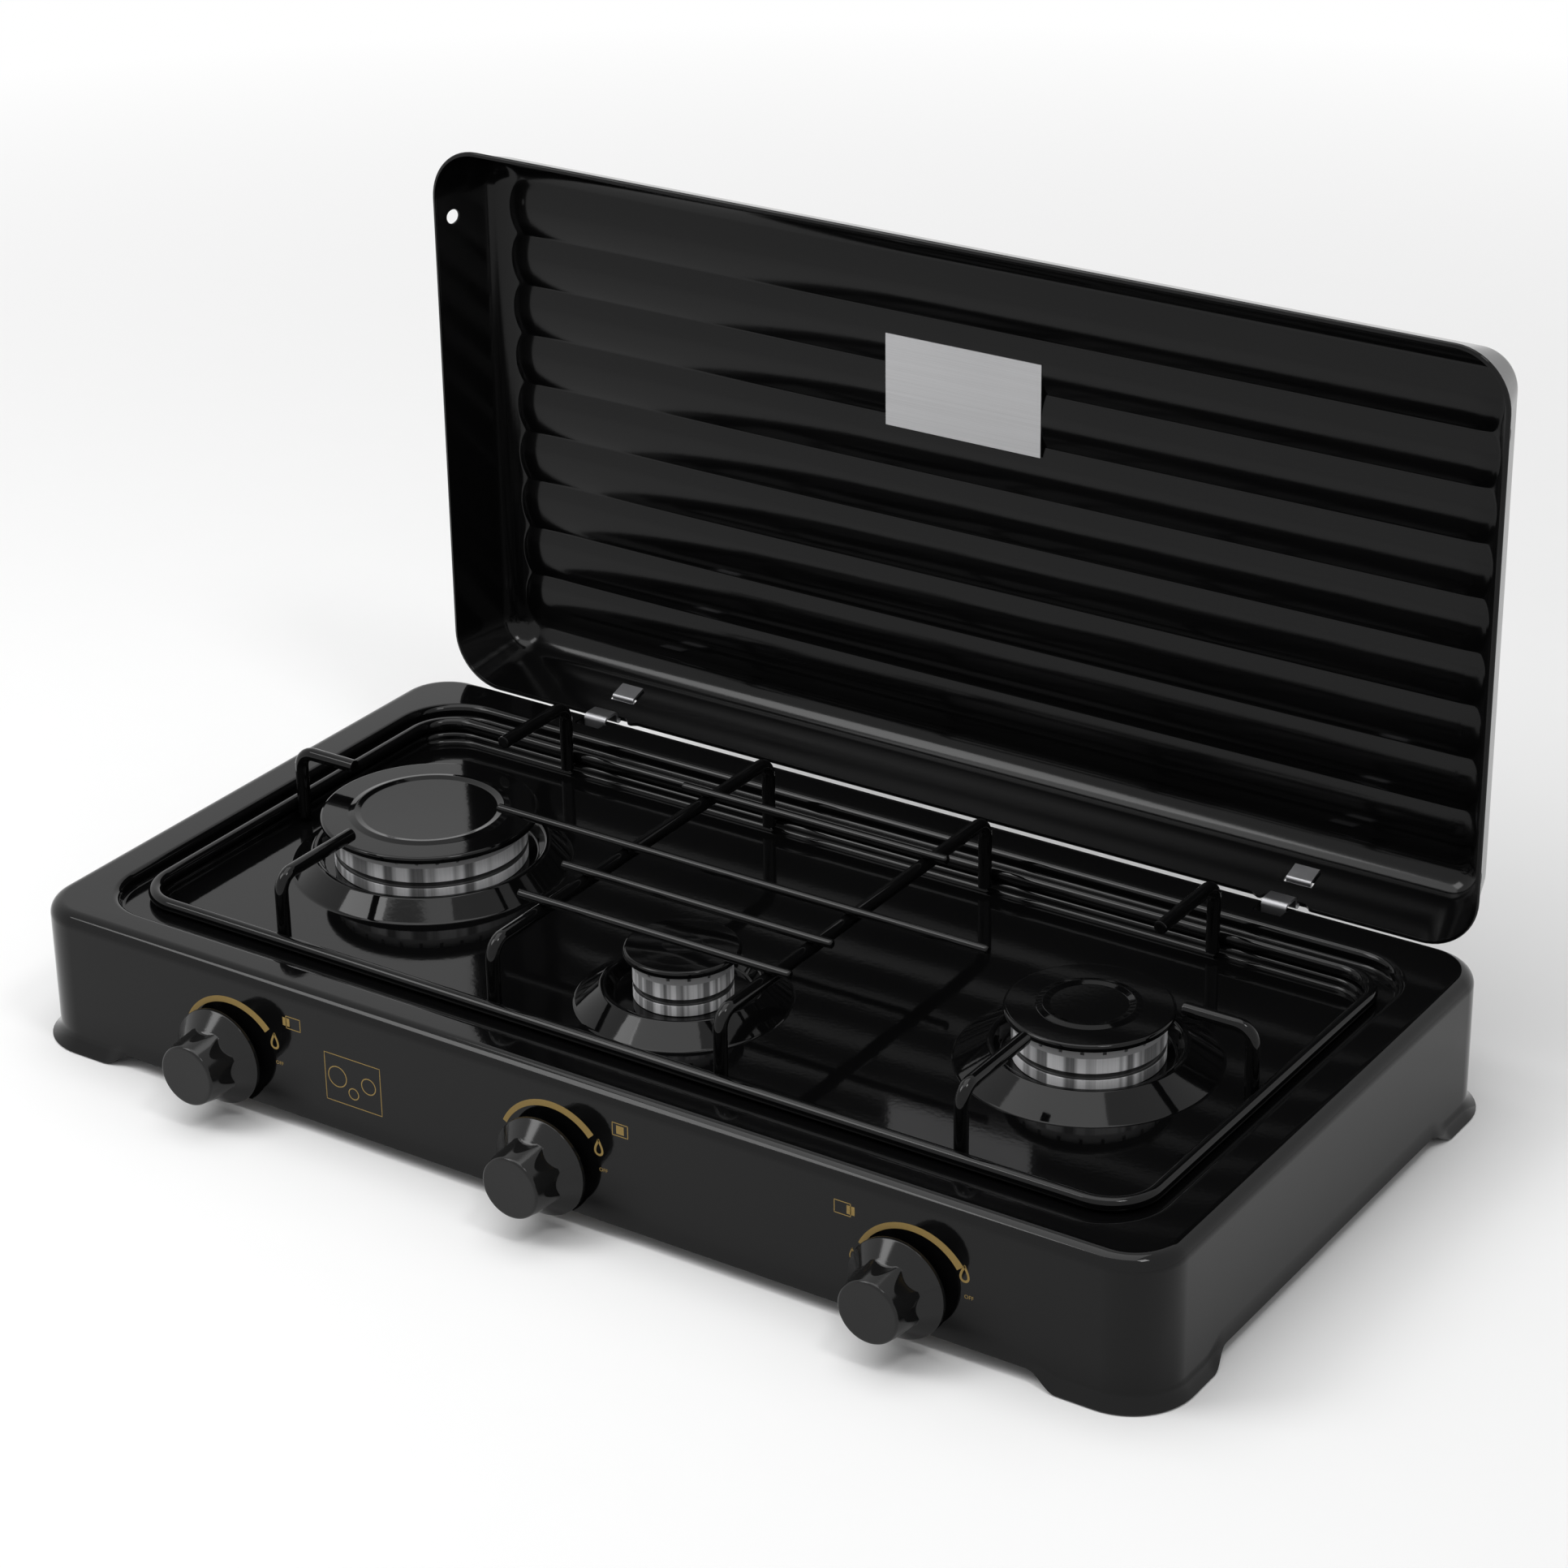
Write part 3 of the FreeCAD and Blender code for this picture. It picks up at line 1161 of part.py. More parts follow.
def rib_outline(sketch, radius, reach, radius_size, reach_size):
    """Half of a long capsule about the sketch's level axis: a line, two quarter arcs and the axis."""
    right = Part.Circle(Vector(reach, 0, 0), Vector(0, 0, 1), radius)
    left = Part.Circle(Vector(-reach, 0, 0), Vector(0, 0, 1), radius)
    sketch.addGeometry(Part.LineSegment(Vector(reach, radius, 0), Vector(-reach, radius, 0)), False)
    sketch.addGeometry(Part.ArcOfCircle(left, math.pi / 2, math.pi), False)
    sketch.addGeometry(Part.LineSegment(Vector(-reach - radius, 0, 0), Vector(reach + radius, 0, 0)), False)
    sketch.addGeometry(Part.ArcOfCircle(right, 0, math.pi / 2), False)
    sketch.addConstraint(Sketcher.Constraint("Tangent", 0, 2, 1, 1))
    sketch.addConstraint(Sketcher.Constraint("Coincident", 1, 2, 2, 1))
    sketch.addConstraint(Sketcher.Constraint("Coincident", 2, 2, 3, 1))
    sketch.addConstraint(Sketcher.Constraint("Tangent", 3, 2, 0, 1))
    hold(sketch, "DistanceX", -1, 1, 1, 3, -reach_size)
    hold(sketch, "DistanceX", -1, 1, 3, 3, reach_size)
    hold(sketch, "DistanceY", -1, 1, 1, 3, 0.0)
    hold(sketch, "DistanceY", -1, 1, 3, 3, 0.0)
    number = sketch.addConstraint(Sketcher.Constraint("Radius", 1, radius))
    sketch.setExpression(f"Constraints[{number}]", radius_size.formula)


def make_lid():
    """The lid: one pressed pan with nine ribs, a rolled rim, side holes and hinge cut-outs."""
    bead = new_body("lid_bead")
    sketch = new_sketch(bead, "XY_Plane")
    half_x = s.lid_length_x / 2
    half_y = s.lid_length_y / 2
    rounded_outline(sketch, -half_x, half_x, -half_y, half_y, s.lid_corner)
    extrude(bead, sketch, "Pad", s.lid_bead_height)
    round_edges(bead, s.lid_bead * 0.9, lambda box: True if box.ZLength < 0.1 else False)
    pan = cut(joined([lid_form("lid_outside", OUTER_FACE), bead]), lid_form("lid_inside", s.sheet_wall))
    holes = []
    rear = half_y - 12
    for side in (-1, 1):
        x = s.hinge_spread * side
        holes.append(solid("Box", x - s.notch_width / 2, rear, -1.0, Length=s.notch_width, Width=20,
                           Height=s.notch_height + 1))
        holes.append(solid("Box", x - s.strap_width / 2 - 1, rear, s.tab_depth - s.slot_height / 2,
                           Length=s.strap_width + 2, Width=20, Height=s.slot_height))
    holes.append(solid("Box", -s.relief_half, rear, -1.0, Length=s.relief_half * 2, Width=20,
                       Height=s.relief_height + 1))
    along = Rotation(Vector(0, 1, 0), 90)
    reach = s.lid_lean * 2
    places = ((-half_x, s.lid_hole_left), (half_x, s.lid_hole_far), (half_x, s.lid_hole_near))
    for x, y in places:
        holes.append(solid("Cylinder", x - reach, y, s.lid_hole_depth, along, Radius=s.lid_hole_radius,
                           Height=reach * 2))
    node(cut(pan, joined(holes)), "lid", 0.0, s.lid_open_y, s.lid_middle_z, Rotation(Vector(1, 0, 0), -90))


def make_lid_plate():
    """A blank plate on the crests of two ribs inside the lid."""
    plate = solid("Box", Length=s.plate_width, Width=s.plate_height, Height=s.plate_wall)
    node(plate, "lid_plate", s.plate_x - s.plate_width / 2,
         s.lid_open_y + s.lid_depth - s.rib_rise - s.sheet_wall - s.plate_wall,
         s.plate_z + s.plate_height / 2,
         Rotation(Vector(1, 0, 0), -90))


# Hinges

def make_hinge(side, word):
    """One hinge: a bracket under the rim, a pin through it, and the strap that carries the lid."""
    x = s.hinge_spread * side
    under = s.casing_height - s.sheet_wall
    wall = s.rear_y - s.sheet_wall
    ears = []
    for sign in (-1, 1):
        middle = s.ear_spread * sign
        body = new_body(f"ear_{word}_{'right' if sign > 0 else 'left'}")
        sketch = new_sketch(body, "YZ_Plane")
        fold = s.fold_radius - s.sheet_wall
        outline(sketch, [(wall - fold - 4, under), (wall - fold, under), (wall, under - fold),
                         (wall, s.hinge_z - 5.5), (s.hinge_y - 3, s.hinge_z - 5.5),
                         (wall - fold - 4, s.hinge_z)])
        extrude(body, sketch, "Pad", s.ear_wall, symmetric=True)
        ears.append(place(body, middle))
    web = solid("Box", -s.ear_spread, wall - 1.5, s.hinge_z - 7.5, Length=s.ear_spread * 2, Width=1.5,
                Height=3.5)
    along = Rotation(Vector(0, 1, 0), 90)
    bore = solid("Cylinder", -s.ear_spread * 2, s.hinge_y, s.hinge_z, along,
                 Radius=s.pin_radius + s.running_gap, Height=s.ear_spread * 4)
    node(cut(joined(ears + [web]), bore), f"hinge_bracket_{word}", x)

    head = s.ear_spread + s.ear_wall / 2 + s.running_gap
    pin = new_body(f"pin_{word}")
    sketch = new_sketch(pin, "XZ_Plane")
    outline(sketch, [(0.0, -head - 1), (s.pin_radius + 0.8, -head - 1), (s.pin_radius + 0.8, -head),
                     (s.pin_radius, -head), (s.pin_radius, head), (s.pin_radius + 0.8, head),
                     (s.pin_radius + 0.8, head + 1), (0.0, head + 1)])
    revolve(pin, sketch)
    node(pin, f"hinge_pin_{word}", x, s.hinge_y, s.hinge_z, along)

    node(formed(f"strap_{word}", strap_shape()), f"hinge_strap_{word}", x, s.hinge_y, s.hinge_z)


def strap_shape():
    """The strap about the hinge axis, lid open: an eye, a rise through the rim, a run over the fold,
    then out under the lid's back wall, through a slot in it, and back as a tab inside."""
    wall = float(s.strap_wall)
    eye = float(s.pin_radius) + float(s.running_gap) + wall / 2
    over = float(s.strap_over)
    drop = float(s.lid_open_y) - float(s.hinge_y)
    slope = float(s.lid_lean) / float(s.lid_depth)
    lean = math.hypot(1.0, slope)
    edge = float(s.lid_open_z) + float(s.lid_bead) - float(s.hinge_z)
    below = edge - (wall / 2 + float(s.strap_gap)) * lean
    inside = edge + (float(s.sheet_wall) + wall / 2 + float(s.strap_gap)) * lean
    fold = float(s.tab_depth)
    tab = float(s.tab_length)
    tilt = wall * slope
    points = [
        (-eye * 0.2, eye), (eye, eye), (eye, -eye), (-eye, -eye), (-eye, over), (drop, over),
        (drop, below), (drop + fold, below + fold * slope),
        (drop + fold - tilt, inside + (fold - tilt) * slope),
        (drop + fold - tilt + tab, inside + (fold - tilt + tab) * slope),
    ]
    return bent_strip(points, [eye] * 4 + [2.2, 1.2, 0.85, 0.85], wall, s.strap_width)


def make_all():
    make_casing()
    make_rail()
    make_inlet_pipe()
    make_hose_tail()
    make_clamps()
    for side, word in ((-1, "left"), (0, "middle"), (1, "right")):
        make_valve(side, word)
        make_spring(side, word)
        make_knob(side, word)
    for which in BURNERS:
        make_cup(which)
        make_injector(which)
        make_feed_pipe(which)
        make_head(which)
        make_cap(which)
    make_cup_screws()
    make_loop()
    make_fingers()
    make_cross_wires()
    make_bars()
    make_lid()
    make_lid_plate()
    for side, word in ((-1, "left"), (1, "right")):
        make_hinge(side, word)


def check_and_write():
    """Refuse a failed object, then write each sub-part to its own file."""
    doc.recompute()
    for thing in doc.Objects:
        if "Invalid" in thing.State or "Error" in thing.State:
            raise RuntimeError(f"{thing.Name} failed: {thing.State}")
    for thing in nodes:
        if thing.Shape.isNull() or not thing.Shape.isValid() or not thing.Shape.Solids:
            raise RuntimeError(f"{thing.Label} has no valid solid")
    os.makedirs("parts", exist_ok=True)
    for thing in nodes:
        thing.Shape.exportStep(f"parts/{thing.Label}.step")
        print(f"{thing.Label}: {len(thing.Shape.Solids)} solids, {thing.Shape.Volume:.0f} mm3")


make_all()
check_and_write()
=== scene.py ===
import math

import bmesh
import bpy
import numpy as np
from bpy.props import FloatProperty, FloatVectorProperty, IntProperty, IntVectorProperty, PointerProperty
from mathutils import Matrix, Vector
from mathutils.geometry import tessellate_polygon


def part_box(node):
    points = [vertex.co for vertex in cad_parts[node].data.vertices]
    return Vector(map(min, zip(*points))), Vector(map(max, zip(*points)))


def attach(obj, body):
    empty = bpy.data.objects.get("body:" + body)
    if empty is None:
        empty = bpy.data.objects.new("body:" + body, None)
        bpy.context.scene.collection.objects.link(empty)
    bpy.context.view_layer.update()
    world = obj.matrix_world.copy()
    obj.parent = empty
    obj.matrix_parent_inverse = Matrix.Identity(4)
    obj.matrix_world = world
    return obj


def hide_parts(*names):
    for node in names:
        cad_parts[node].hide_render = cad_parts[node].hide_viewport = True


bl_info = {
    "name": "Three-Burner Camping Stove",
    "version": (1, 0, 0),
    "blender": (4, 5, 0),
    "location": "View3D > Sidebar > Stove",
    "description": "Builds the looks of an enamelled three-burner camping stove round its packed frame",
    "category": "Add Mesh",
}

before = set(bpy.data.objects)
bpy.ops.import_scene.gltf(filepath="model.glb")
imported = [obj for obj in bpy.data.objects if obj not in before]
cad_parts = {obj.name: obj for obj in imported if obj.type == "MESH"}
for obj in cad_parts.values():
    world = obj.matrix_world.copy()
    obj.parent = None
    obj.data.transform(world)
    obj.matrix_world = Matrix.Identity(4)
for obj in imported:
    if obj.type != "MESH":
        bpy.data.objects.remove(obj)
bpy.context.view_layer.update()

SIDES = ("left", "middle", "right")
# Corner steps and turn steps that keep a silhouette smooth at close range.
CORNER_STEPS = 14
ARC_STEPS = 7
TURN_STEPS = 128
WIRE_SIDES = 20
BEND_STEPS = 9
SHARP_ANGLE = math.radians(38)
FLAT_WEIGHT = 60
MERGE_DISTANCE = 2e-6
MM = 0.001


# Settings that a user would change

def length(label, millimetres, note):
    """A length whose default is written in millimetres."""
    return FloatProperty(name=label, description=note, default=millimetres / 1000, unit="LENGTH",
                         precision=5)


def three_radii(label, millimetres, note):
    """A radius for each burner, left, middle and right, written in millimetres."""
    return FloatVectorProperty(name=label, description=note, default=[each / 1000 for each in millimetres],
                               size=3, unit="LENGTH", precision=5)


def colour(label, value, note):
    """A linear colour."""
    return FloatVectorProperty(name=label, description=note, default=value, size=3, subtype="COLOR",
                               min=0, max=1)


class StoveCasingSizes(bpy.types.PropertyGroup):
    """Sizes of the pressed casing that its bounding box doesn't give."""

    wall: length("Sheet", 1.0, "Thickness of the enamelled sheet")
    corner: length("Corner", 26, "Upright corners")
    fold: length("Fold", 7, "Fold between the rim and the walls")
    skirt_gap: length("Skirt gap", 6.5, "Table to the lower edge between the feet")
    foot_side: length("Foot", 44, "Length of a foot along a wall")
    foot_run: length("Foot slope", 16, "Slope beside a foot")
    foot_flare: length("Foot lip", 4.5, "How far the lip of a foot stands out")
    lip_out: length("Edge lip", 1.2, "How far the lower edge stands out between the feet")
    lip_height: length("Lip height", 8, "Height over which the lower lip curves out")
    well_side: length("Side rim", 24, "Rim beside the well, left and right")
    well_front: length("Front rim", 20.5, "Rim in front of the well")
    well_rear: length("Rear rim", 26, "Rim behind the well")
    well_corner: length("Well corner", 30, "Plan corners of the well")
    well_lip: length("Well lip", 3.6, "Rounded edge between rim and well")
    well_foot: length("Well foot", 2.0, "Rounded foot of the well's wall")
    ledge_depth: length("Ledge drop", 7, "Rim down to the ledge")
    ledge_side: length("Side ledge", 12.8, "Ledge width, left and right")
    ledge_front: length("Front ledge", 21.5, "Ledge width, front")
    ledge_rear: length("Rear ledge", 17, "Ledge width, back")
    basin_corner: length("Basin corner", 22, "Plan corners of the basin")
    step_lip: length("Step lip", 2.4, "Rounded edge between ledge and basin")
    step_foot: length("Step foot", 2.1, "Rounded foot of the basin's wall")
    well_depth: length("Basin drop", 12, "Rim down to the floor of the basin")
    neck_hole: length("Neck hole", 5, "Hole for the neck of a valve")
    slot_side: length("Slot play", 1, "Room beside a strap in its slot")
    slot_front: length("Slot front", 10.3, "A strap's slot in front of the pin")
    slot_rear: length("Slot back", 0.3, "A strap's slot behind the pin")
    slot_reach: length("Slot reach", 4, "Half the height over which a slot is cut")


class StoveBurnerSizes(bpy.types.PropertyGroup):
    """Sizes of the burners and the bosses under them, left, middle and right."""

    base: three_radii("Boss foot", (68, 50.2, 60.3), "Radius of each boss at the floor")
    crest: three_radii("Boss crest", (58, 38.2, 45), "Radius of each boss's crest")
    bead: three_radii("Cap ring", (36.3, 0, 20.8), "Radius of the ring pressed in each cap, 0 for none")
    ports: IntVectorProperty(name="Ports", description="Flame ports in each head", default=(30, 15, 22),
                             size=3)
    boss_height: length("Boss height", 9, "Crest above the floor")
    boss_round: length("Boss rounding", 1.9, "Rounding of a crest")
    boss_flat: length("Boss crest width", 2.47, "Top of a crest before it is rounded")
    boss_ring: length("Boss ring", 4, "Ring of floor that belongs to a boss")
    boss_foot: length("Boss foot rounding", 3, "Rounding between a boss and the floor")
    dish_round: length("Dish rounding", 1.71, "Rounding round the dish")
    hole_round: length("Hole rounding", 1.5, "Rounding at the hole for a head")
    dish_drop: length("Dish drop", 6, "Crest down to the dish")
    dish_rim: length("Dish rim", 6, "Crest radius less dish radius")
    head_wall: length("Head wall", 5, "Ring thickness of a head")
    groove: length("Groove", 1.5, "Depth of the groove round a head")
    groove_low: length("Groove height", 5.6, "Bottom of a head to its groove")
    groove_tall: length("Groove width", 2.9, "Groove, bottom to top")
    head_edge: length("Head edge", 0.5, "Rounding of a head's foot and of its inner edge")
    head_top: length("Head top edge", 0.9, "Rounding of a head's upper edge")
    groove_lip: length("Groove lip", 0.4, "Rounding of the edges of the groove")
    groove_root: length("Groove root", 0.3, "Rounding in the groove")
    port_width: length("Port width", 1.6, "Width of a flame port")
    port_drop: length("Port depth", 3.0, "Depth of a flame port")
    port_band: length("Port band", 5.0, "Plain band round the flame ports")
    bead_rise: length("Ring height", 0.8, "Height of the ring in a cap")
    bead_foot: length("Ring foot", 3.15, "Half the width over which a cap's top rises to its ring")
    bead_peak: length("Ring peak", 0.2, "Height that the rounding takes off the ring")
    bead_round: length("Ring rounding", 1.6, "Rounding of the ring")
    bead_bend: length("Ring bend", 2.2, "Rounding at the foot of the ring")
    cap_edge: length("Cap edge", 3.6, "Thickness of a cap at its edge")
    cap_play: length("Cap play", 0.4, "Room round a cap's spigot, and over its hollow")
    cap_seat: length("Cap seat", 0.05, "Room between a cap and its head")
    spigot_wall: length("Spigot wall", 2.5, "Wall of the spigot under a cap")
    spigot_round: length("Spigot rounding", 0.3, "Rounding of the spigot's edges")
    hollow_round: length("Hollow rounding", 0.5, "Rounding inside the spigot")
    cap_under: length("Cap under edge", 1.2, "Rounding of a cap's lower edge")
    cap_over: length("Cap upper edge", 1.6, "Rounding of a cap's upper edge")
    cap_rise: length("Cap rise", 0.1, "Rise of a ringed cap's top from its edge to its ring")
    cap_dip: length("Cap dip", 0.4, "Dip of a ringed cap's middle under its edge")
    dome_rise: length("Dome rise", 0.3, "Rise of a domed cap's top at its first bend")
    dome_dip: length("Dome dip", 0.6, "Dip of a domed cap's middle under its crown")
    dome_outer: length("Dome outer rounding", 4, "Rounding of the dome's first bend")
    dome_inner: length("Dome inner rounding", 6, "Rounding of the dome's second bend")


class StoveKnobSizes(bpy.types.PropertyGroup):
    """Sizes of a knob that its bounding box doesn't give."""

    grip: length("Grip", 14.8, "Radius of the grip")
    cone_top: length("Cone", 15.3, "Face of the knob back to the top of the cone")
    lip: length("Lip", 2, "Upright edge of the skirt")
    lip_inner: length("Lip inner edge", 0.5, "Rounding of the skirt's edge, beside the panel")
    lip_outer: length("Lip outer edge", 0.7, "Rounding between the edge and the cone")
    cone_round: length("Cone rounding", 0.3, "Rounding between the cone and the grip")
    flare: length("Flare", 2.5, "How far the grip widens from its face down to the cone")
    wall: length("Wall", 1.6, "Wall of the skirt")
    edge: length("Edge", 1.2, "Rounding of the face")
    dish: length("Face dip", 0.1, "Dip of the middle of the face")
    hub: length("Hub hole", 3.05, "Radius of the hole for a stem")
    hub_wall: length("Hub wall", 3.6, "Wall round that hole")
    hub_roof: length("Hub roof", 3, "Face to the end of that hole")
    recess: length("Recess", 1, "How far the inner parts stand back from the skirt's edge")
    grip_wall: length("Grip wall", 3.4, "Wall of the hollow grip")
    grip_roof: length("Grip roof", 4, "Face to the hollow of the grip")
    flutes: IntProperty(name="Flutes", description="Hollow flutes round the grip", default=8)
    flute_radius: length("Flute", 20, "Radius of a hollow flute")
    flute_valley: length("Flute valley", 0.8, "Valley of a flute outside the radius of the face")


class StoveRackSizes(bpy.types.PropertyGroup):
    """Bends of the wire rack."""

    corner: length("Loop corner", 22, "Corners of the loop")
    bend: length("Finger bend", 8, "Bends between posts and fingers")


class StoveLidSizes(bpy.types.PropertyGroup):
    """Sizes of the lid that its bounding box doesn't give."""

    corner: length("Corner", 28, "Plan corners")
    depth: length("Depth", 39.5, "Rim to the lid's top")
    lean: length("Lean", 12.12, "How far each wall leans in")
    fold: length("Fold", 16, "Large fold between walls and top")
    bead: length("Bead", 0.9, "How far the rolled rim stands out")
    bead_height: length("Bead height", 2.3, "Height of the rolled rim")
    ribs: IntProperty(name="Ribs", description="Pressed ribs", default=9)
    pitch: length("Pitch", 26.7, "Rib to rib")
    rise: length("Rise", 3, "How far a rib is pressed into the lid")
    half: length("Half rib", 15, "Half the width that a rib has at the lid's top")
    end_inset: length("Rib end", 18, "End of a rib inside the lid's side edge")
    blend: length("Blend", 0.6, "Softness of the valleys between ribs")
    relief: length("Relief", 1.7, "Shallow relief in the back rim")
    relief_half: length("Relief length", 180, "Half the length of the relief")
    notch: length("Notch", 2.8, "Notch for a strap")
    notch_half: length("Notch width", 11.5, "Half the width of a notch")
    cut_edge: length("Cut edge", 1.2, "Length over which the rim steps back at a relief or notch")
    hole: length("Side hole", 3.75, "Radius of a hole in a side wall")
    hole_back: length("Hole place", 10, "Rim to the middle of a side hole")
    hole_left: length("Left hole", 107, "Left hole above the lid's middle")
    hole_right: length("Right hole", 105, "Right hole above the lid's middle")
    hole_low: length("Low hole", 112, "Second right hole below the lid's middle")
    slot_half: length("Slot width", 7.5, "Half the width of the slot for a tab")
    slot_near: length("Slot start", 12.8, "Rim to the near side of a tab's slot")
    slot_far: length("Slot end", 17.2, "Rim to the far side of a tab's slot")
    slot_rise: length("Slot height", 12, "Lower edge of the lid up to the end of the cut")


class StoveColours(bpy.types.PropertyGroup):
    """Colours of the finishes."""

    enamel: colour("Enamel", (0.0022, 0.0022, 0.0023), "Black vitreous enamel")
    plastic: colour("Plastic", (0.006, 0.006, 0.006), "Black moulded plastic")
    aluminium: colour("Aluminium", (0.62, 0.62, 0.63), "Bare turned aluminium")
    zinc: colour("Zinc", (0.30, 0.30, 0.31), "Zinc-plated steel")
    brass: colour("Brass", (0.60, 0.42, 0.16), "Brass gas fittings")
    spring: colour("Spring", (0.35, 0.35, 0.36), "Spring steel")
    print: colour("Print", (0.29, 0.20, 0.07), "Gold print on the panel")
    floor: colour("Floor", (0.90, 0.90, 0.90), "Pale floor")


# Outlines, paths and surfaces

def arc_corner(before, corner, after, radius, steps):
    """The corner of a polyline rounded by an arc of the given radius that touches both its runs."""
    into = (corner - before) / np.linalg.norm(corner - before)
    out = (after - corner) / np.linalg.norm(after - corner)
    turn = math.acos(float(np.clip(into @ out, -1, 1)))
    if radius <= 0 or turn < 1e-4:
        return corner[None, :]
    middle = corner + (out - into) / np.linalg.norm(out - into) * radius / math.cos(turn / 2)
    start = corner - into * radius * math.tan(turn / 2) - middle
    side = start / radius
    share = np.linspace(0, turn, steps + 1)[:, None]
    return middle + radius * (side * np.cos(share) + into * np.sin(share))


def rounded(points, radii, steps=ARC_STEPS):
    """An open polyline in which each inner point is rounded by an arc of its own radius."""
    points = np.asarray(points, float)
    runs = [points[:1]]
    for i in range(1, len(points) - 1):
        runs.append(arc_corner(points[i - 1], points[i], points[i + 1], radii[i - 1], steps))
    runs.append(points[-1:])
    return np.concatenate(runs)


def ring(box, radius, along_x, along_y):
    """Points round a rounded rectangle, anticlockwise from the front left: each side is shared out by its
    fractions, and each corner is a quarter circle. Rings with the same fractions match point for point."""
    left, right, front, rear = box
    turn = np.linspace(0, math.pi / 2, CORNER_STEPS + 1)
    corners = ((right - radius, front + radius, -math.pi / 2), (right - radius, rear - radius, 0.0),
               (left + radius, rear - radius, math.pi / 2), (left + radius, front + radius, math.pi))
    runs_x = (along_x, None, 1 - along_x, None)
    runs_y = (None, along_y, None, 1 - along_y)
    fixed = (front, right, rear, left)
    parts = []
    for i, (x, y, start) in enumerate(corners):
        if runs_x[i] is not None:
            side = left + radius + runs_x[i] * (right - left - 2 * radius)
            parts.append(np.stack([side, np.full(len(side), fixed[i])], 1))
        else:
            side = front + radius + runs_y[i] * (rear - front - 2 * radius)
            parts.append(np.stack([np.full(len(side), fixed[i]), side], 1))
        parts.append(np.stack([x + radius * np.cos(start + turn), y + radius * np.sin(start + turn)], 1))
    return np.concatenate(parts)


def inset(box, amount):
    """A rectangle with every side moved inwards."""
    left, right, front, rear = box
    return left + amount, right - amount, front + amount, rear - amount


def grid_faces(rows, columns, closed_rows=False, closed_columns=True):
    """Quads of a grid of points whose rows follow each other."""
    r = np.arange(rows if closed_rows else rows - 1)
    c = np.arange(columns if closed_columns else columns - 1)
    r, c = np.meshgrid(r, c, indexing="ij")
    r2 = (r + 1) % rows
    c2 = (c + 1) % columns
    quads = np.stack([r * columns + c, r * columns + c2, r2 * columns + c2, r2 * columns + c], -1)
    return quads.reshape(-1, 4)


def surface(points, closed_rows=False, closed_columns=True):
    """A patch from a grid of points of shape (rows, columns, 3)."""
    rows, columns = points.shape[:2]
    return points.reshape(-1, 3), grid_faces(rows, columns, closed_rows, closed_columns)


def turned(profile, steps=TURN_STEPS, closed=False):
    """A profile of (radius, height) points carried once round the Z axis."""
    turn = np.linspace(0, 2 * math.pi, steps, endpoint=False)
    radius, height = np.asarray(profile, float).T
    points = np.stack([radius[:, None] * np.cos(turn), radius[:, None] * np.sin(turn),
                       np.repeat(height[:, None], steps, 1)], -1)
    return surface(points, closed_rows=closed)


# The rounded end of a tube: how far each of its rings lies from the tip, in units of the rounding, and the
# ring's radius as a share of the tube's, less a share of the rounding.
END_PLACES = np.array([0.0, 0.0, 0.0, 0.6, 2.0])
END_SHARES = np.array([0.0, 0.45, 1.0, 1.0, 1.0])
END_CUTS = np.array([0.0, 0.0, 1.0, 0.2, 0.0])


def tube(path, radius, across, closed=False, sides=WIRE_SIDES, end_round=0.12):
    """A circle carried along a path that lies in the plane square to across; an open tube's ends are
    rounded over a share of the radius and closed to a point."""
    path = np.asarray(path, float)
    if closed:
        along = np.roll(path, -1, 0) - np.roll(path, 1, 0)
    else:
        along = np.gradient(path, axis=0)
        along[0] = path[1] - path[0]
        along[-1] = path[-1] - path[-2]
    along = along / np.linalg.norm(along, axis=1)[:, None]
    across = np.asarray(across, float)
    other = np.cross(along, across)
    radii = np.full(len(path), float(radius))
    if not closed:
        back = along[0] * radius * end_round
        ahead = along[-1] * radius * end_round
        path = np.concatenate([path[0] + back * END_PLACES[:, None], path[1:-1],
                               path[-1] - ahead * END_PLACES[::-1, None]])
        ends = radius * (END_SHARES - end_round * END_CUTS)
        radii = np.concatenate([ends, radii[1:-1], ends[::-1]])
        count = len(END_PLACES)
        other = np.concatenate([[other[0]] * count, other[1:-1], [other[-1]] * count])
    turn = np.linspace(0, 2 * math.pi, sides, endpoint=False)
    wheel = (across[None, None, :] * np.cos(turn)[None, :, None]
             + other[:, None, :] * np.sin(turn)[None, :, None])
    return surface(path[:, None, :] + radii[:, None, None] * wheel, closed_rows=closed)


def ribbon(path, widths, thick, closed=False):
    """A flat strip in the XZ plane that stands thick in front of it: each path point has its width, and the
    strip has square edges, so that a printed line is a thin closed solid."""
    path = np.asarray(path, float)
    if closed:
        along = np.roll(path, -1, 0) - np.roll(path, 1, 0)
    else:
        along = np.gradient(path, axis=0)
    along = along / np.linalg.norm(along, axis=1)[:, None]
    aside = np.stack([-along[:, 1], along[:, 0]], 1)
    half = np.broadcast_to(np.asarray(widths, float), (len(path),))[:, None] / 2
    one = path + aside * half
    two = path - aside * half
    corners = []
    for flat, depth in ((one, 0.0), (two, 0.0), (two, -thick), (one, -thick)):
        corners.append(np.stack([flat[:, 0], np.full(len(flat), depth), flat[:, 1]], -1))
    points, faces = surface(np.stack(corners, 1), closed_rows=closed)
    if closed:
        return points, faces
    last = (len(path) - 1) * 4
    ends = [np.array([[0, 1, 2, 3]]), np.array([[last + 3, last + 2, last + 1, last]])]
    return points, np.concatenate([faces] + ends)


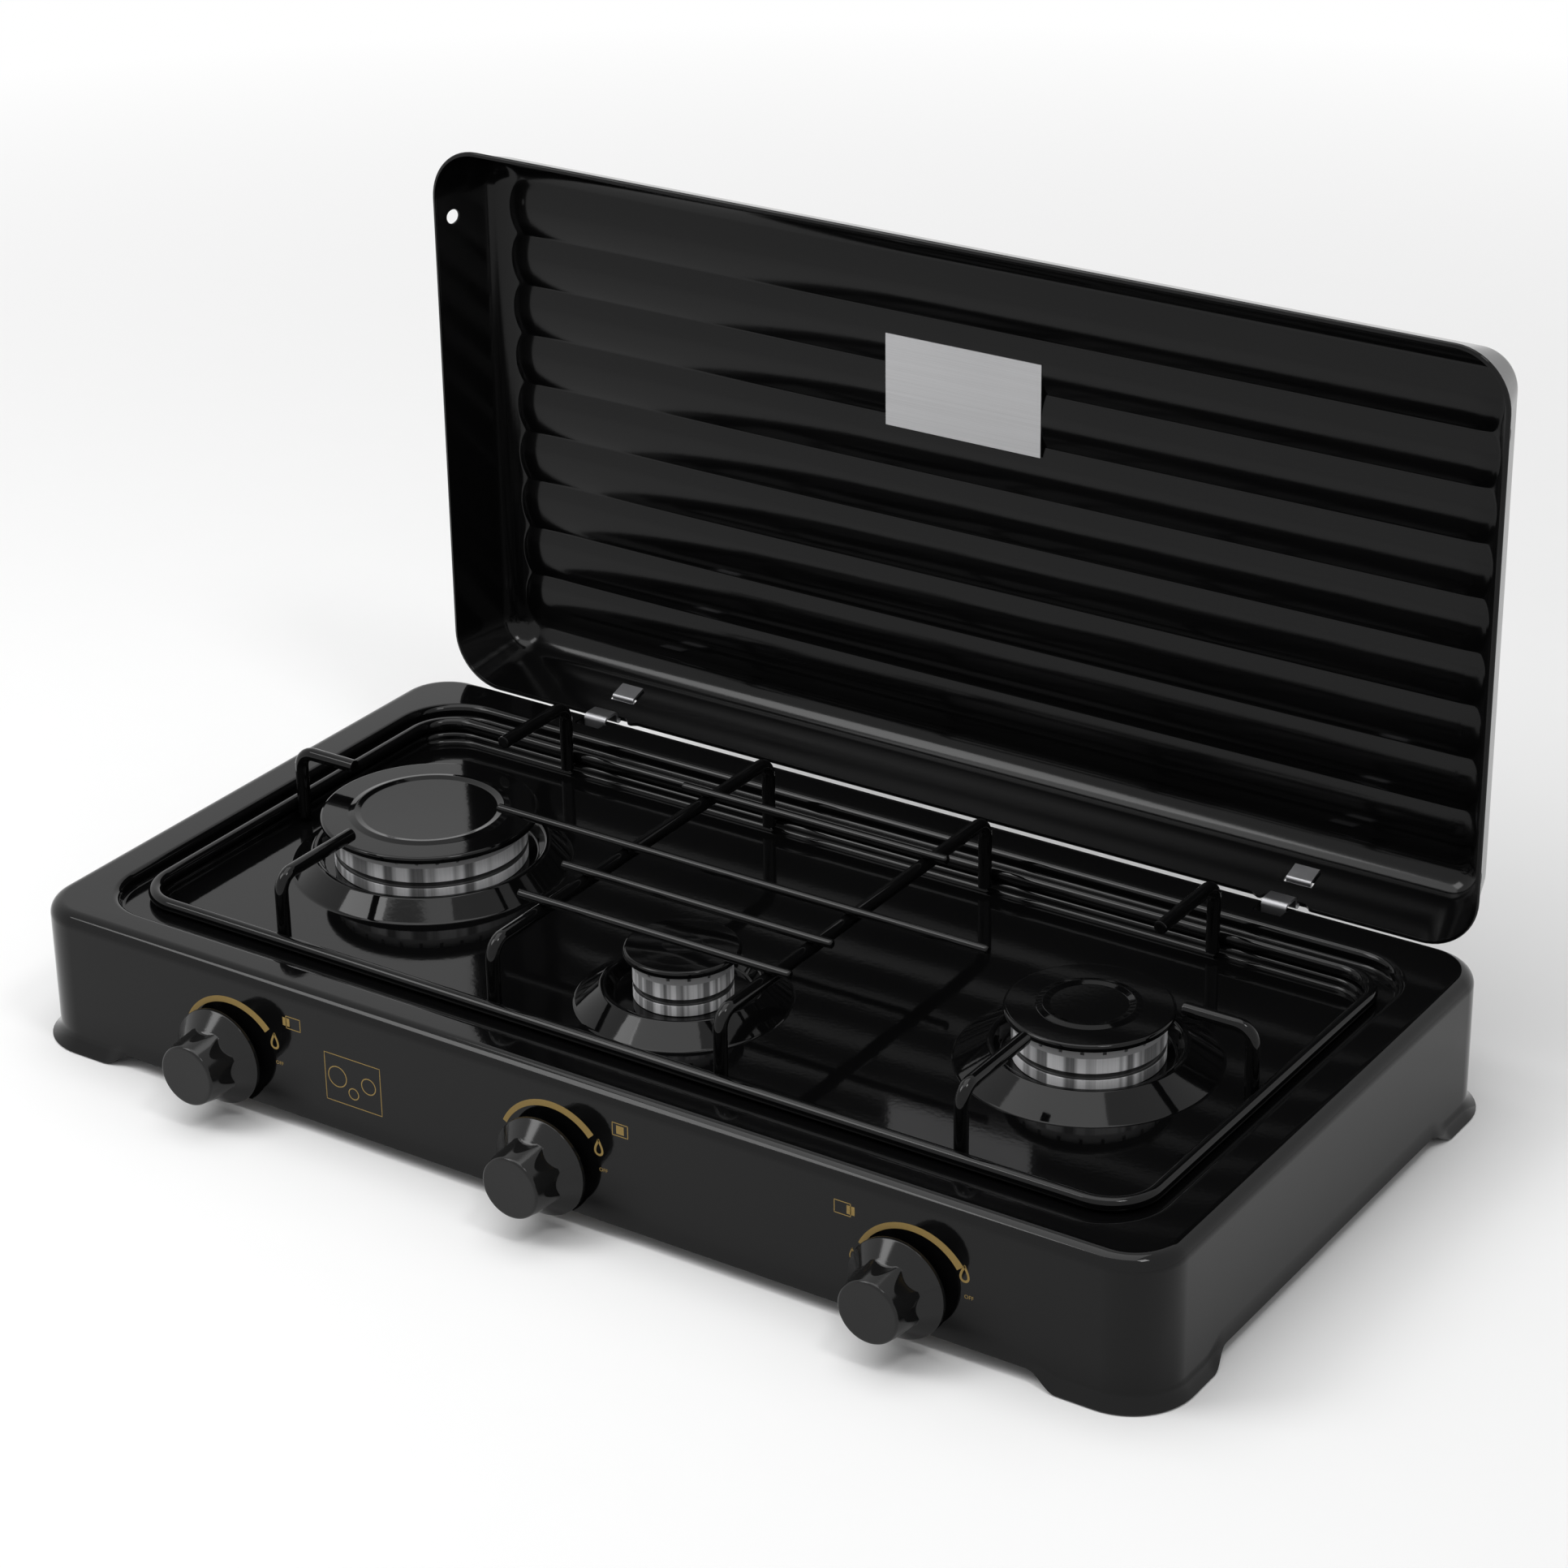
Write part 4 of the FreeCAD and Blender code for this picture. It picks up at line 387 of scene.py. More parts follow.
def moved(patch, x=0.0, y=0.0, z=0.0):
    """A patch at another place."""
    points, faces = patch
    return points + np.array([x, y, z]), faces


def facing_front(patch, x, y, z):
    """A patch about the Z axis turned so that its height points to the front, then moved into place."""
    points, faces = patch
    return np.stack([points[:, 0] + x, y - points[:, 2], z + points[:, 1]], -1), faces


def build(name, patches, outward=None):
    """One mesh object from several patches, with shared points merged and all faces turned outwards.
    outward is a direction in which the sheet's outer side faces on the whole, for an open sheet."""
    points = []
    faces = []
    start = 0
    for patch_points, patch_faces in patches:
        points.append(patch_points)
        faces += (np.asarray(patch_faces) + start).tolist()
        start += len(patch_points)
    mesh = bpy.data.meshes.new(name)
    mesh.from_pydata(np.concatenate(points).tolist(), [], faces)
    work = bmesh.new()
    work.from_mesh(mesh)
    bmesh.ops.remove_doubles(work, verts=work.verts, dist=MERGE_DISTANCE)
    bmesh.ops.dissolve_degenerate(work, edges=work.edges, dist=MERGE_DISTANCE / 2)
    bmesh.ops.recalc_face_normals(work, faces=work.faces)
    if outward is not None:
        total = sum((face.normal * face.calc_area() for face in work.faces), Vector())
        if total.dot(Vector(outward)) < 0:
            bmesh.ops.reverse_faces(work, faces=work.faces)
    work.to_mesh(mesh)
    work.free()
    piece = bpy.data.objects.new(name, mesh)
    bpy.context.scene.collection.objects.link(piece)
    return piece


def smooth(piece, angle=SHARP_ANGLE):
    """Smooth shading that keeps edges sharper than the angle, weighted so that flat faces stay flat."""
    piece.data.shade_smooth()
    piece.data.set_sharp_from_angle(angle=angle)
    weighted = piece.modifiers.new("Flat faces", "WEIGHTED_NORMAL")
    weighted.keep_sharp = True
    weighted.weight = FLAT_WEIGHT
    return piece


def thicken(piece, wall):
    """Give a sheet its wall, inwards from the outer side."""
    solid = piece.modifiers.new("Sheet", "SOLIDIFY")
    solid.thickness = wall
    solid.offset = -1
    solid.use_even_offset = True
    return settle(piece)


def settle(piece):
    """Apply the piece's modifiers to its mesh."""
    depsgraph = bpy.context.evaluated_depsgraph_get()
    mesh = bpy.data.meshes.new_from_object(piece.evaluated_get(depsgraph))
    piece.modifiers.clear()
    piece.data = mesh
    return piece


def cut_out(piece, patches):
    """Take closed patches out of a piece, and remove the tool that did it."""
    tool = build(f"{piece.name}_tool", patches)
    cutter = piece.modifiers.new("Openings", "BOOLEAN")
    cutter.operation = "DIFFERENCE"
    cutter.solver = "EXACT"
    cutter.object = tool
    settle(piece)
    bpy.data.objects.remove(tool)
    return piece


def block(low, high):
    """A closed box between two corners, as a patch for a cutter."""
    points = np.array([[x, y, z] for x in (low[0], high[0]) for y in (low[1], high[1])
                       for z in (low[2], high[2])], float)
    faces = np.array([[0, 1, 3, 2], [4, 6, 7, 5], [0, 4, 5, 1], [2, 3, 7, 6], [0, 2, 6, 4], [1, 5, 7, 3]])
    return points, faces


def drill(radius, reach, steps=40):
    """A closed rod about the Z axis, from -reach to reach, as a patch for a cutter."""
    return turned([(0.0, -reach), (radius, -reach), (radius, reach), (0.0, reach)], steps)


def lying(patch, x, y, z):
    """A patch about the Z axis laid along X and moved into place."""
    points, faces = patch
    return np.stack([points[:, 2] + x, points[:, 1] + y, points[:, 0] + z], -1), faces


def smoothstep(value):
    """A soft step from 0 to 1: 3 v^2 - 2 v^3."""
    value = np.clip(value, 0, 1)
    return value * value * (3 - 2 * value)


def soft_max(first, second, blend):
    """The larger of two heights, with the crease between them rounded over the blend."""
    share = np.clip(0.5 + 0.5 * (first - second) / blend, 0, 1)
    return second + (first - second) * share + blend * share * (1 - share)


def middle_of(node_name):
    """The middle of a node's box."""
    low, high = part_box(node_name)
    return (low + high) / 2


def finish_piece(piece, body, slot, finish, *nodes):
    """Put a finished piece on its body, with its finish, in place of its CAD nodes. The slot is not used.
    """
    piece.data.materials.clear()
    piece.data.materials.append(finish)
    if nodes:
        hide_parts(*nodes)
    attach(piece, body)
    return piece


# Shader maths

class Socket:
    """A node's output, so that shader maths can be written as a plain expression."""

    def __init__(self, finish, output):
        self.finish = finish
        self.output = output

    def maths(self, operation, *values):
        """A maths node, with every value that it works on."""
        return self.finish.add("ShaderNodeMath", {"operation": operation}, dict(enumerate(values)))

    def __add__(self, other):
        return self.maths("ADD", self, other)

    __radd__ = __add__

    def __mul__(self, other):
        return self.maths("MULTIPLY", self, other)

    __rmul__ = __mul__

    def __sub__(self, other):
        return self.maths("SUBTRACT", self, other)

    def __rsub__(self, other):
        return self.maths("SUBTRACT", other, self)

    def __truediv__(self, other):
        return self.maths("DIVIDE", self, other)

    def __pow__(self, other):
        return self.maths("POWER", self, other)

    def clamped(self):
        """The value kept between 0 and 1."""
        return self.maths("MAXIMUM", self.maths("MINIMUM", self, 1.0), 0.0)


class Finish:
    """A material with its node tree, built by one method for every kind of node."""

    def __init__(self, name):
        self.material = bpy.data.materials.new(name)
        self.material.use_nodes = True
        self.tree = self.material.node_tree
        self.shader = self.tree.nodes["Principled BSDF"]

    def add(self, kind, settings, inputs, output=0):
        """A node with its settings made first and then its sockets' values or links."""
        made = self.tree.nodes.new(kind)
        for key, value in settings.items():
            setattr(made, key, value)
        for key, value in inputs.items():
            if isinstance(value, Socket):
                self.tree.links.new(value.output, made.inputs[key])
            else:
                made.inputs[key].default_value = value
        return Socket(self, made.outputs[output])

    def place(self):
        """The place on the piece, in metres."""
        return self.add("ShaderNodeTexCoord", {}, {}, "Object")

    def split(self, vector):
        """The three coordinates of a place."""
        parts = self.add("ShaderNodeSeparateXYZ", {}, {0: vector})
        return [Socket(self, socket) for socket in parts.output.node.outputs]

    def join(self, x, y, z):
        """A place from its three coordinates."""
        return self.add("ShaderNodeCombineXYZ", {}, {0: x, 1: y, 2: z})

    def noise(self, vector, scale, detail=2.0, roughness=0.5):
        """Cloudy noise about 0.5; the larger the scale, the finer it is."""
        return self.add("ShaderNodeTexNoise", {}, {"Vector": vector, "Scale": scale, "Detail": detail,
                                                   "Roughness": roughness})

    def ramp(self, factor, low, high):
        """A factor that goes from 0 to 1 while another goes from low to high."""
        return self.add("ShaderNodeMapRange", {"clamp": True},
                        {"Value": factor, "From Min": low, "From Max": high})

    def mix(self, factor, first, second):
        """A colour between two colours."""
        return self.add("ShaderNodeMix", {"data_type": "RGBA"}, {0: factor, 6: first, 7: second}, 2)

    def bump(self, height, distance, strength=1.0):
        """A fine relief of the surface, which only bends its light."""
        normal = self.add("ShaderNodeBump", {},
                          {"Height": height, "Distance": distance, "Strength": strength})
        self.tree.links.new(normal.output, self.shader.inputs["Normal"])

    def set(self, **values):
        """Values or links of the shader's own sockets."""
        for key, value in values.items():
            socket = self.shader.inputs[key.replace("_", " ")]
            if isinstance(value, Socket):
                self.tree.links.new(value.output, socket)
            else:
                socket.default_value = value


def shade(rgb, share=1.0):
    """A linear colour, lighter or darker, with its alpha."""
    return tuple(channel * share for channel in rgb) + (1.0,)


DUST_GREY = (0.03, 0.03, 0.03)


def enamel_finish(name, colours, roughness):
    """Black enamel: a faint orange peel, slight cloudiness in the gloss, and rare fine dust."""
    finish = Finish(name)
    place = finish.place()
    cloud = finish.noise(place, scale=22.0, detail=3.0)
    peel = finish.noise(place, scale=420.0)
    swell = finish.noise(place, scale=34.0, detail=1.0)
    dust = finish.ramp(finish.noise(place, scale=1900.0, detail=1.0), low=0.77, high=0.82)
    finish.set(Base_Color=finish.mix(dust * 0.35, shade(colours.enamel), shade(DUST_GREY)),
               Roughness=roughness * (0.75 + cloud * 0.5) + dust * 0.2,
               IOR=1.3)
    finish.bump(swell * 0.8 + peel * 0.2, distance=0.05 * MM)
    return finish.material


def plastic_finish(colours):
    """Glossy moulded plastic: a fine grain and a little unevenness in the sheen."""
    finish = Finish("black_plastic")
    place = finish.place()
    cloud = finish.noise(place, scale=60.0, detail=3.0)
    grain = finish.noise(place, scale=2600.0)
    dark = shade(colours.plastic, share=0.8)
    light = shade(colours.plastic, share=1.25)
    finish.set(Base_Color=finish.mix(cloud, dark, light),
               Roughness=0.07 + cloud * 0.08,
               IOR=1.36)
    finish.bump(grain, distance=0.02 * MM, strength=0.6)
    return finish.material


# Height over which the painted reflection streaks give way to the plain band round the ports.
BAND_EDGE = 0.3 * MM


def turned_finish(name, node_name, burners, rgb):
    """Bare aluminium turned on a lathe: broad bright and dark streaks up the wall, which are painted
    reflections, a plainer band round the ports, fine rings, and painted shade in the groove."""
    finish = Finish(name)
    low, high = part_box(node_name)
    centre = (low + high) / 2
    x, y, z = finish.split(finish.place())
    angle = x.maths("ARCTAN2", y - centre.y, x - centre.x)
    # Painted reflection: broad bright and dark streaks round the wall stand in for the surroundings
    # mirrored in the metal.
    wide = finish.noise(finish.join(angle * 3.2, 0.0, centre.x), scale=1.0, roughness=0.6)
    fine = finish.noise(finish.join(angle * 60.0, z * 20.0, 0.0), scale=1.0, detail=3.0)
    rings = finish.noise(finish.join(angle * 1.5, z * 2600.0, 0.0), scale=1.0)
    tone = (finish.ramp(wide, low=0.44, high=0.54) * 0.8 + fine * 0.3).clamped()
    # Painted shade: the groove is darkened almost to black, as shade in the recess.
    above_groove = z - (low.z + burners.groove_low + burners.groove_tall / 2)
    from_groove = above_groove.maths("ABSOLUTE", above_groove)
    painted_groove_shade = 1.0 - finish.ramp(from_groove, burners.groove_tall * 0.5, burners.groove_tall * 0.62)
    band = high.z - burners.port_band
    plain = finish.ramp(z, band, band + BAND_EDGE)
    # Painted reflection: a dark and a bright copy of the aluminium, mixed by the streaks' tone.
    painted_reflection_streaks = finish.mix(tone, shade(rgb, share=0.16), shade(rgb, share=1.58))
    bare = finish.mix(plain, painted_reflection_streaks, shade(rgb, share=0.7))
    finish.set(Base_Color=finish.mix(painted_groove_shade * 0.96, bare, shade(rgb, share=0.03)),
               Metallic=0.15,
               Roughness=0.3 + fine * 0.12)
    finish.bump(fine * 0.3 + rings * 0.7, distance=0.06 * MM, strength=0.8)
    return finish.material


def metal_finish(name, rgb, roughness, scale):
    """Plain metal with a cloudy tone and fine pitting."""
    finish = Finish(name)
    place = finish.place()
    cloud = finish.noise(place, scale, detail=4.0, roughness=0.6)
    pits = finish.noise(place, scale * 14)
    finish.set(Base_Color=finish.mix(cloud, shade(rgb, share=0.75), shade(rgb, share=1.15)),
               Metallic=1.0,
               Roughness=roughness + cloud * 0.14)
    finish.bump(pits, distance=0.03 * MM, strength=0.6)
    return finish.material


def brushed_finish(name, rgb):
    """Thin sheet aluminium with brush lines along X."""
    finish = Finish(name)
    x, y, z = finish.split(finish.place())
    lines = finish.noise(finish.join(x * 9.0, y * 9.0, z * 2400.0), scale=1.0, detail=3.0)
    cloud = finish.noise(finish.place(), scale=30.0, detail=3.0)
    finish.set(Base_Color=finish.mix(lines, shade(rgb, share=0.78), shade(rgb, share=1.05)),
               Metallic=0.55,
               Roughness=0.38 + cloud * 0.12)
    finish.bump(lines, distance=0.02 * MM, strength=0.5)
    return finish.material


def print_finish(colours):
    """Gold screen print: slightly grainy ink."""
    finish = Finish("gold_print")
    grain = finish.noise(finish.place(), scale=1400.0, detail=3.0)
    dark = shade(colours.print, share=0.8)
    light = shade(colours.print, share=1.15)
    finish.set(Base_Color=finish.mix(grain, dark, light),
               Roughness=0.5 + grain * 0.12,
               IOR=1.2)
    finish.bump(grain, distance=0.02 * MM, strength=0.5)
    return finish.material


def make_finishes():
    """Every finish, by name, in a dictionary on the scene's own settings."""
    colours = bpy.context.scene.stove_colours
    made = {
        "enamel": enamel_finish("black_enamel", colours, roughness=0.06),
        "lid_enamel": enamel_finish("black_enamel_lid", colours, roughness=0.13),
        "plastic": plastic_finish(colours),
        "zinc": metal_finish("zinc_plated_steel", colours.zinc, roughness=0.34, scale=90.0),
        "brass": metal_finish("brass_fittings", colours.brass, roughness=0.24, scale=70.0),
        "spring": metal_finish("spring_steel", colours.spring, roughness=0.22, scale=200.0),
        "plate": brushed_finish("plate_aluminium", colours.aluminium),
        "print": print_finish(colours),
    }
    for which in SIDES:
        made[f"head_{which}"] = turned_finish(f"turned_aluminium_{which}", f"burner_head_{which}",
                                              bpy.context.scene.stove_burners, colours.aluminium)
    return made


FINISHES = {}


def finish_of(name):
    """A finish by name, made the first time that one is asked for."""
    if not FINISHES:
        FINISHES.update(make_finishes())
    return FINISHES[name]


# Casing

# Points along a wall: over the slope beside a foot with its margins, and between two slopes.
SLOPE_STEPS = 15
SLOPE_MARGIN = 2 * MM
BETWEEN_STEPS = 14
# Heights of the points of the lower lip as shares of it, and of the wall above as shares of the whole.
LIP_SHARES = (0.0, 0.05, 0.125, 0.25, 0.4, 0.6, 0.8, 1.0)
WALL_SHARES = (0.35, 0.6)
FOLD_STEPS = 10
CUT_REACH = 6 * MM


def side_fractions(half, size):
    """Where the points of a straight wall lie, as fractions of it: close together beside the feet."""
    straight_half = half - size.corner
    foot = half - size.foot_side
    slope = np.linspace(foot - size.foot_run - SLOPE_MARGIN, foot + SLOPE_MARGIN, SLOPE_STEPS)
    middle = np.linspace(-slope[0], slope[0], BETWEEN_STEPS)[1:-1]
    places = np.concatenate([-slope[::-1], middle, slope])
    return (places + straight_half) / (2 * straight_half)


def casing_skirt(size, box, top, along_x, along_y):
    """The casing's walls from the feet up to the rim. Between the feet the lower edge is lifted, and it
    curves out in a lip that is wider at the feet: out = lip (1 - height / lip height)^2."""
    outer = ring(box, size.corner, along_x, along_y)
    middle = np.array([(box[0] + box[1]) / 2, (box[2] + box[3]) / 2])
    half = np.array([(box[1] - box[0]) / 2, (box[3] - box[2]) / 2])
    from_ends = half - np.abs(outer - middle)
    across = from_ends.min(1)
    along = from_ends.max(1)
    between = np.where(across < size.corner, smoothstep((along - size.foot_side) / size.foot_run), 0.0)
    lip = size.foot_flare + (size.lip_out - size.foot_flare) * between
    slope = 2 * lip / size.lip_height
    low = size.skirt_gap * between + size.wall * slope / np.sqrt(1 + slope ** 2)
    rows = []
    for share in LIP_SHARES:
        out = ring_outset(box, size.corner, along_x, along_y, lip * (1 - share) ** 2)
        rows.append(np.column_stack([out, low + size.lip_height * share]))
    for share in WALL_SHARES:
        rows.append(np.column_stack([outer, np.full(len(outer), top * share)]))
    return rows


def ring_outset(box, radius, along_x, along_y, out):
    """A rounded rectangle whose every point is pushed outwards by its own amount."""
    base = ring(box, radius, along_x, along_y)
    wider = ring(inset(box, -MM), radius + MM, along_x, along_y)
    return base + (wider - base) / MM * out[:, None]


def stepped_rows(box, radius, section, along_x, along_y):
    """Rings that follow a section of (inset, height) points about a rounded rectangle."""
    rows = []
    for amount, height in section:
        flat = ring(inset(box, amount), radius - amount, along_x, along_y)
        rows.append(np.column_stack([flat, np.full(len(flat), height)]))
    return rows


def step_section(high, low, lip, foot):
    """A step from one level down to another as (inset, height) points: its rounded lip and rounded foot."""
    lead = 2 * (lip + foot)
    return rounded([(-lead, high), (0.0, high), (0.0, low), (lead, low)], [lip, foot])[1:-1]


def casing_top(size, box, top, along_x, along_y):
    """Rings of the fold, the flat rim, the well, its ledge and the basin down to the floor."""
    left, right, front, rear = box
    lead = 2 * size.fold
    fold = rounded([(0.0, top - lead), (0.0, top), (lead, top)], [size.fold], FOLD_STEPS)[1:-1]
    rows = stepped_rows(box, size.corner, fold, along_x, along_y)
    ledge = top - size.ledge_depth
    floor = top - size.well_depth
    well = (left + size.well_side, right - size.well_side, front + size.well_front, rear - size.well_rear)
    section = step_section(top, ledge, size.well_lip, size.well_foot)
    rows += stepped_rows(well, size.well_corner, section, along_x, along_y)
    basin = (well[0] + size.ledge_side, well[1] - size.ledge_side, well[2] + size.ledge_front,
             well[3] - size.ledge_rear)
    section = step_section(ledge, floor, size.step_lip, size.step_foot)
    rows += stepped_rows(basin, size.basin_corner, section, along_x, along_y)
    return rows


def boss_section(burners, which):
    """Section of a boss: a foot, a cone up to the crest, and a dish down to the hole for the head."""
    base = burners.base[which]
    crest = burners.crest[which]
    low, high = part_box(f"burner_head_{SIDES[which]}")
    hole = (high.x - low.x) / 2 - burners.head_wall
    dish = crest - burners.dish_rim
    top = burners.boss_height
    floor = top - burners.dish_drop
    return rounded([(base + burners.boss_ring, 0.0), (base, 0.0), (crest, top),
                    (crest - burners.boss_flat, top), (dish, floor), (hole, floor)],
                   [burners.boss_foot, burners.boss_round, burners.dish_round, burners.hole_round])


def casing_floor(edge, circles):
    """The flat floor of the basin: the last ring's points with a round hole for each boss."""
    loops = [edge] + circles
    triangles = tessellate_polygon([[Vector(point) for point in loop] for loop in loops])
    return np.concatenate(loops), np.array(triangles)


def casing_bosses(burners, floor_z):
    """The three bosses as turned sheets, and the circles at their feet."""
    patches = []
    circles = []
    for which, word in enumerate(SIDES):
        middle = middle_of(f"burner_head_{word}")
        patch = moved(turned(boss_section(burners, which)), middle.x, middle.y, floor_z)
        patches.append(patch)
        circles.append(patch[0][:TURN_STEPS])
    return patches, circles


def casing_cuts(size, box, top):
    """Cutters for the necks of the valves, the hose tail and the slots of the hinge straps."""
    front, rear = box[2:]
    cutters = []
    for word in SIDES:
        knob = middle_of(f"knob_{word}")
        cutters.append(facing_front(drill(size.neck_hole, CUT_REACH), knob.x, front, knob.z))
    tail = middle_of("hose_tail")
    cutters.append(facing_front(drill(size.neck_hole, CUT_REACH), tail.x, rear, tail.z))
    for word in ("left", "right"):
        low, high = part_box(f"hinge_strap_{word}")
        pin = middle_of(f"hinge_pin_{word}")
        cutters.append(block((low.x - size.slot_side, pin.y - size.slot_front, top - size.slot_reach),
                             (high.x + size.slot_side, pin.y + size.slot_rear, top + size.slot_reach)))
    return cutters


class STOVE_OT_casing(bpy.types.Operator):
    """Build the pressed casing with its feet, rim, well and burner bosses"""

    bl_idname = "stove.casing"
    bl_label = "Casing"

    def execute(self, context):
        size = context.scene.stove_casing
        burners = context.scene.stove_burners
        low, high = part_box("casing")
        box = inset((low.x, high.x, low.y, high.y), size.foot_flare)
        top = high.z
        along_x = side_fractions((box[1] - box[0]) / 2, size)
        along_y = side_fractions((box[3] - box[2]) / 2, size)
        rows = casing_skirt(size, box, top, along_x, along_y) + casing_top(size, box, top, along_x, along_y)
        bosses, circles = casing_bosses(burners, top - size.well_depth)
        patches = [surface(np.stack(rows)), casing_floor(rows[-1], circles)] + bosses
        casing = thicken(build("casing_shell", patches, outward=(0, 0, 1)), size.wall)
        smooth(cut_out(casing, casing_cuts(size, box, top)))
        finish_piece(casing, "root", "black_enamel", finish_of("enamel"), "casing")
        return {"FINISHED"}


# Burners

HEAD_STEPS = 4
# Points round a head: before a port as shares of the pitch, and across a port as shares of half its width.
BESIDE_PORT = np.array([-0.5, -0.36, -0.24])
ACROSS_PORT = np.array([-1.15, -1.0, -0.4, 0.4, 1.0, 1.15])


def head_patch(burners, which):
    """A head: its section is carried round, and the top edge drops at each flame port."""
    low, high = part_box(f"burner_head_{SIDES[which]}")
    outer = (high.x - low.x) / 2
    inner = outer - burners.head_wall
    tall = high.z - low.z
    groove = burners.groove_low
    band = groove + burners.groove_tall
    deep = outer - burners.groove
    section = rounded([
        (inner, 0.0), (outer, 0.0), (outer, groove), (deep, groove), (deep, band), (outer, band),
        (outer, tall), (inner, tall), (inner, 0.0),
    ], [burners.head_edge, burners.groove_lip, burners.groove_root, burners.groove_root, burners.groove_lip,
        burners.head_top, burners.head_edge], HEAD_STEPS)[:-1]
    ports = burners.ports[which]
    half = burners.port_width / outer / 2
    pitch = 2 * math.pi / ports
    offsets = np.concatenate([BESIDE_PORT * pitch, ACROSS_PORT * half, -BESIDE_PORT[:0:-1] * pitch])
    turn = (np.arange(ports)[:, None] * pitch + offsets).ravel()
    in_one = np.zeros(len(offsets), bool)
    in_one[len(BESIDE_PORT):len(BESIDE_PORT) + len(ACROSS_PORT)] = np.abs(ACROSS_PORT) <= 1
    in_port = np.tile(in_one, ports)
    radius = section[:, 0][:, None]
    height = np.repeat(section[:, 1][:, None], len(turn), 1)
    is_top = section[:, 1] > tall - burners.port_drop
    height[np.ix_(is_top, in_port)] = tall - burners.port_drop
    points = np.stack([radius * np.cos(turn), radius * np.sin(turn), height], -1)
    return surface(points, closed_rows=True), low.z


class STOVE_OT_heads(bpy.types.Operator):
    """Build the turned aluminium burner heads"""

    bl_idname = "stove.heads"
    bl_label = "Burner heads"

    def execute(self, context):
        for which, word in enumerate(SIDES):
            patch, low = head_patch(context.scene.stove_burners, which)
            middle = middle_of(f"burner_head_{word}")
            head = smooth(build(f"head_ring_{word}", [moved(patch, middle.x, middle.y, low)]))
            finish_piece(head, f"head_{word}", "bright_aluminium", finish_of(f"head_{word}"),
                         f"burner_head_{word}")
        return {"FINISHED"}


CAP_STEPS = 6
# Radii of the two bends of a domed cap, as shares of the cap's own.
DOME_SHARES = (0.72, 0.34)


def cap_section(burners, which):
    """Section of a cap about its axis, from under its middle, round its edge, to the middle of its top."""
    low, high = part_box(f"burner_cap_{SIDES[which]}")
    head_low, head_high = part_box(f"burner_head_{SIDES[which]}")
    radius = (high.x - low.x) / 2
    spigot = (head_high.x - head_low.x) / 2 - burners.head_wall - burners.cap_play
    inner = spigot - burners.spigot_wall
    rim = head_high.z + burners.cap_seat - low.z
    hollow = rim + burners.cap_play
    top = rim + burners.cap_edge
    crown = top + burners.bead_rise
    bead = burners.bead[which]
    under = [(0.0, hollow), (inner, hollow), (inner, 0.0), (spigot, 0.0), (spigot, rim), (radius, rim),
             (radius, top)]
    turns = [burners.hollow_round, burners.spigot_round, burners.spigot_round, burners.spigot_round,
             burners.cap_under, burners.cap_over]
    if bead > 0:
        foot = top + burners.cap_rise
        over = [(bead + burners.bead_foot, foot), (bead, crown + burners.bead_peak),
                (bead - burners.bead_foot, foot), (0.0, top - burners.cap_dip)]
        turns += [burners.bead_bend, burners.bead_round, burners.bead_bend]
    else:
        over = [(radius * DOME_SHARES[0], top + burners.dome_rise), (radius * DOME_SHARES[1], crown),
                (0.0, crown - burners.dome_dip)]
        turns += [burners.dome_outer, burners.dome_inner]
    return rounded(under + over, turns, CAP_STEPS), low.z


class STOVE_OT_caps(bpy.types.Operator):
    """Build the enamelled burner caps"""

    bl_idname = "stove.caps"
    bl_label = "Burner caps"

    def execute(self, context):
        for which, word in enumerate(SIDES):
            section, low = cap_section(context.scene.stove_burners, which)
            middle = middle_of(f"burner_cap_{word}")
            cap = smooth(build(f"cap_{word}", [moved(turned(section), middle.x, middle.y, low)]))
            finish_piece(cap, f"cap_{word}", "black_enamel", finish_of("enamel"), f"burner_cap_{word}")
        return {"FINISHED"}


# Knobs

def dense(section, step):
    """A polyline with its long runs divided, so that no run is longer than the step."""
    parts = [section[:1]]
    for one, two in zip(section[:-1], section[1:]):
        count = max(1, math.ceil(np.linalg.norm(two - one) / step))
        share = np.linspace(0, 1, count + 1)[1:, None]
        parts.append(one + (two - one) * share)
    return np.concatenate(parts)


KNOB_STEPS = 6
KNOB_RUN = 0.6 * MM
FLUTE_STEPS = 28
# Share of the grip's radius outside which the face has flutes.
FLUTED_SHARE = 0.9


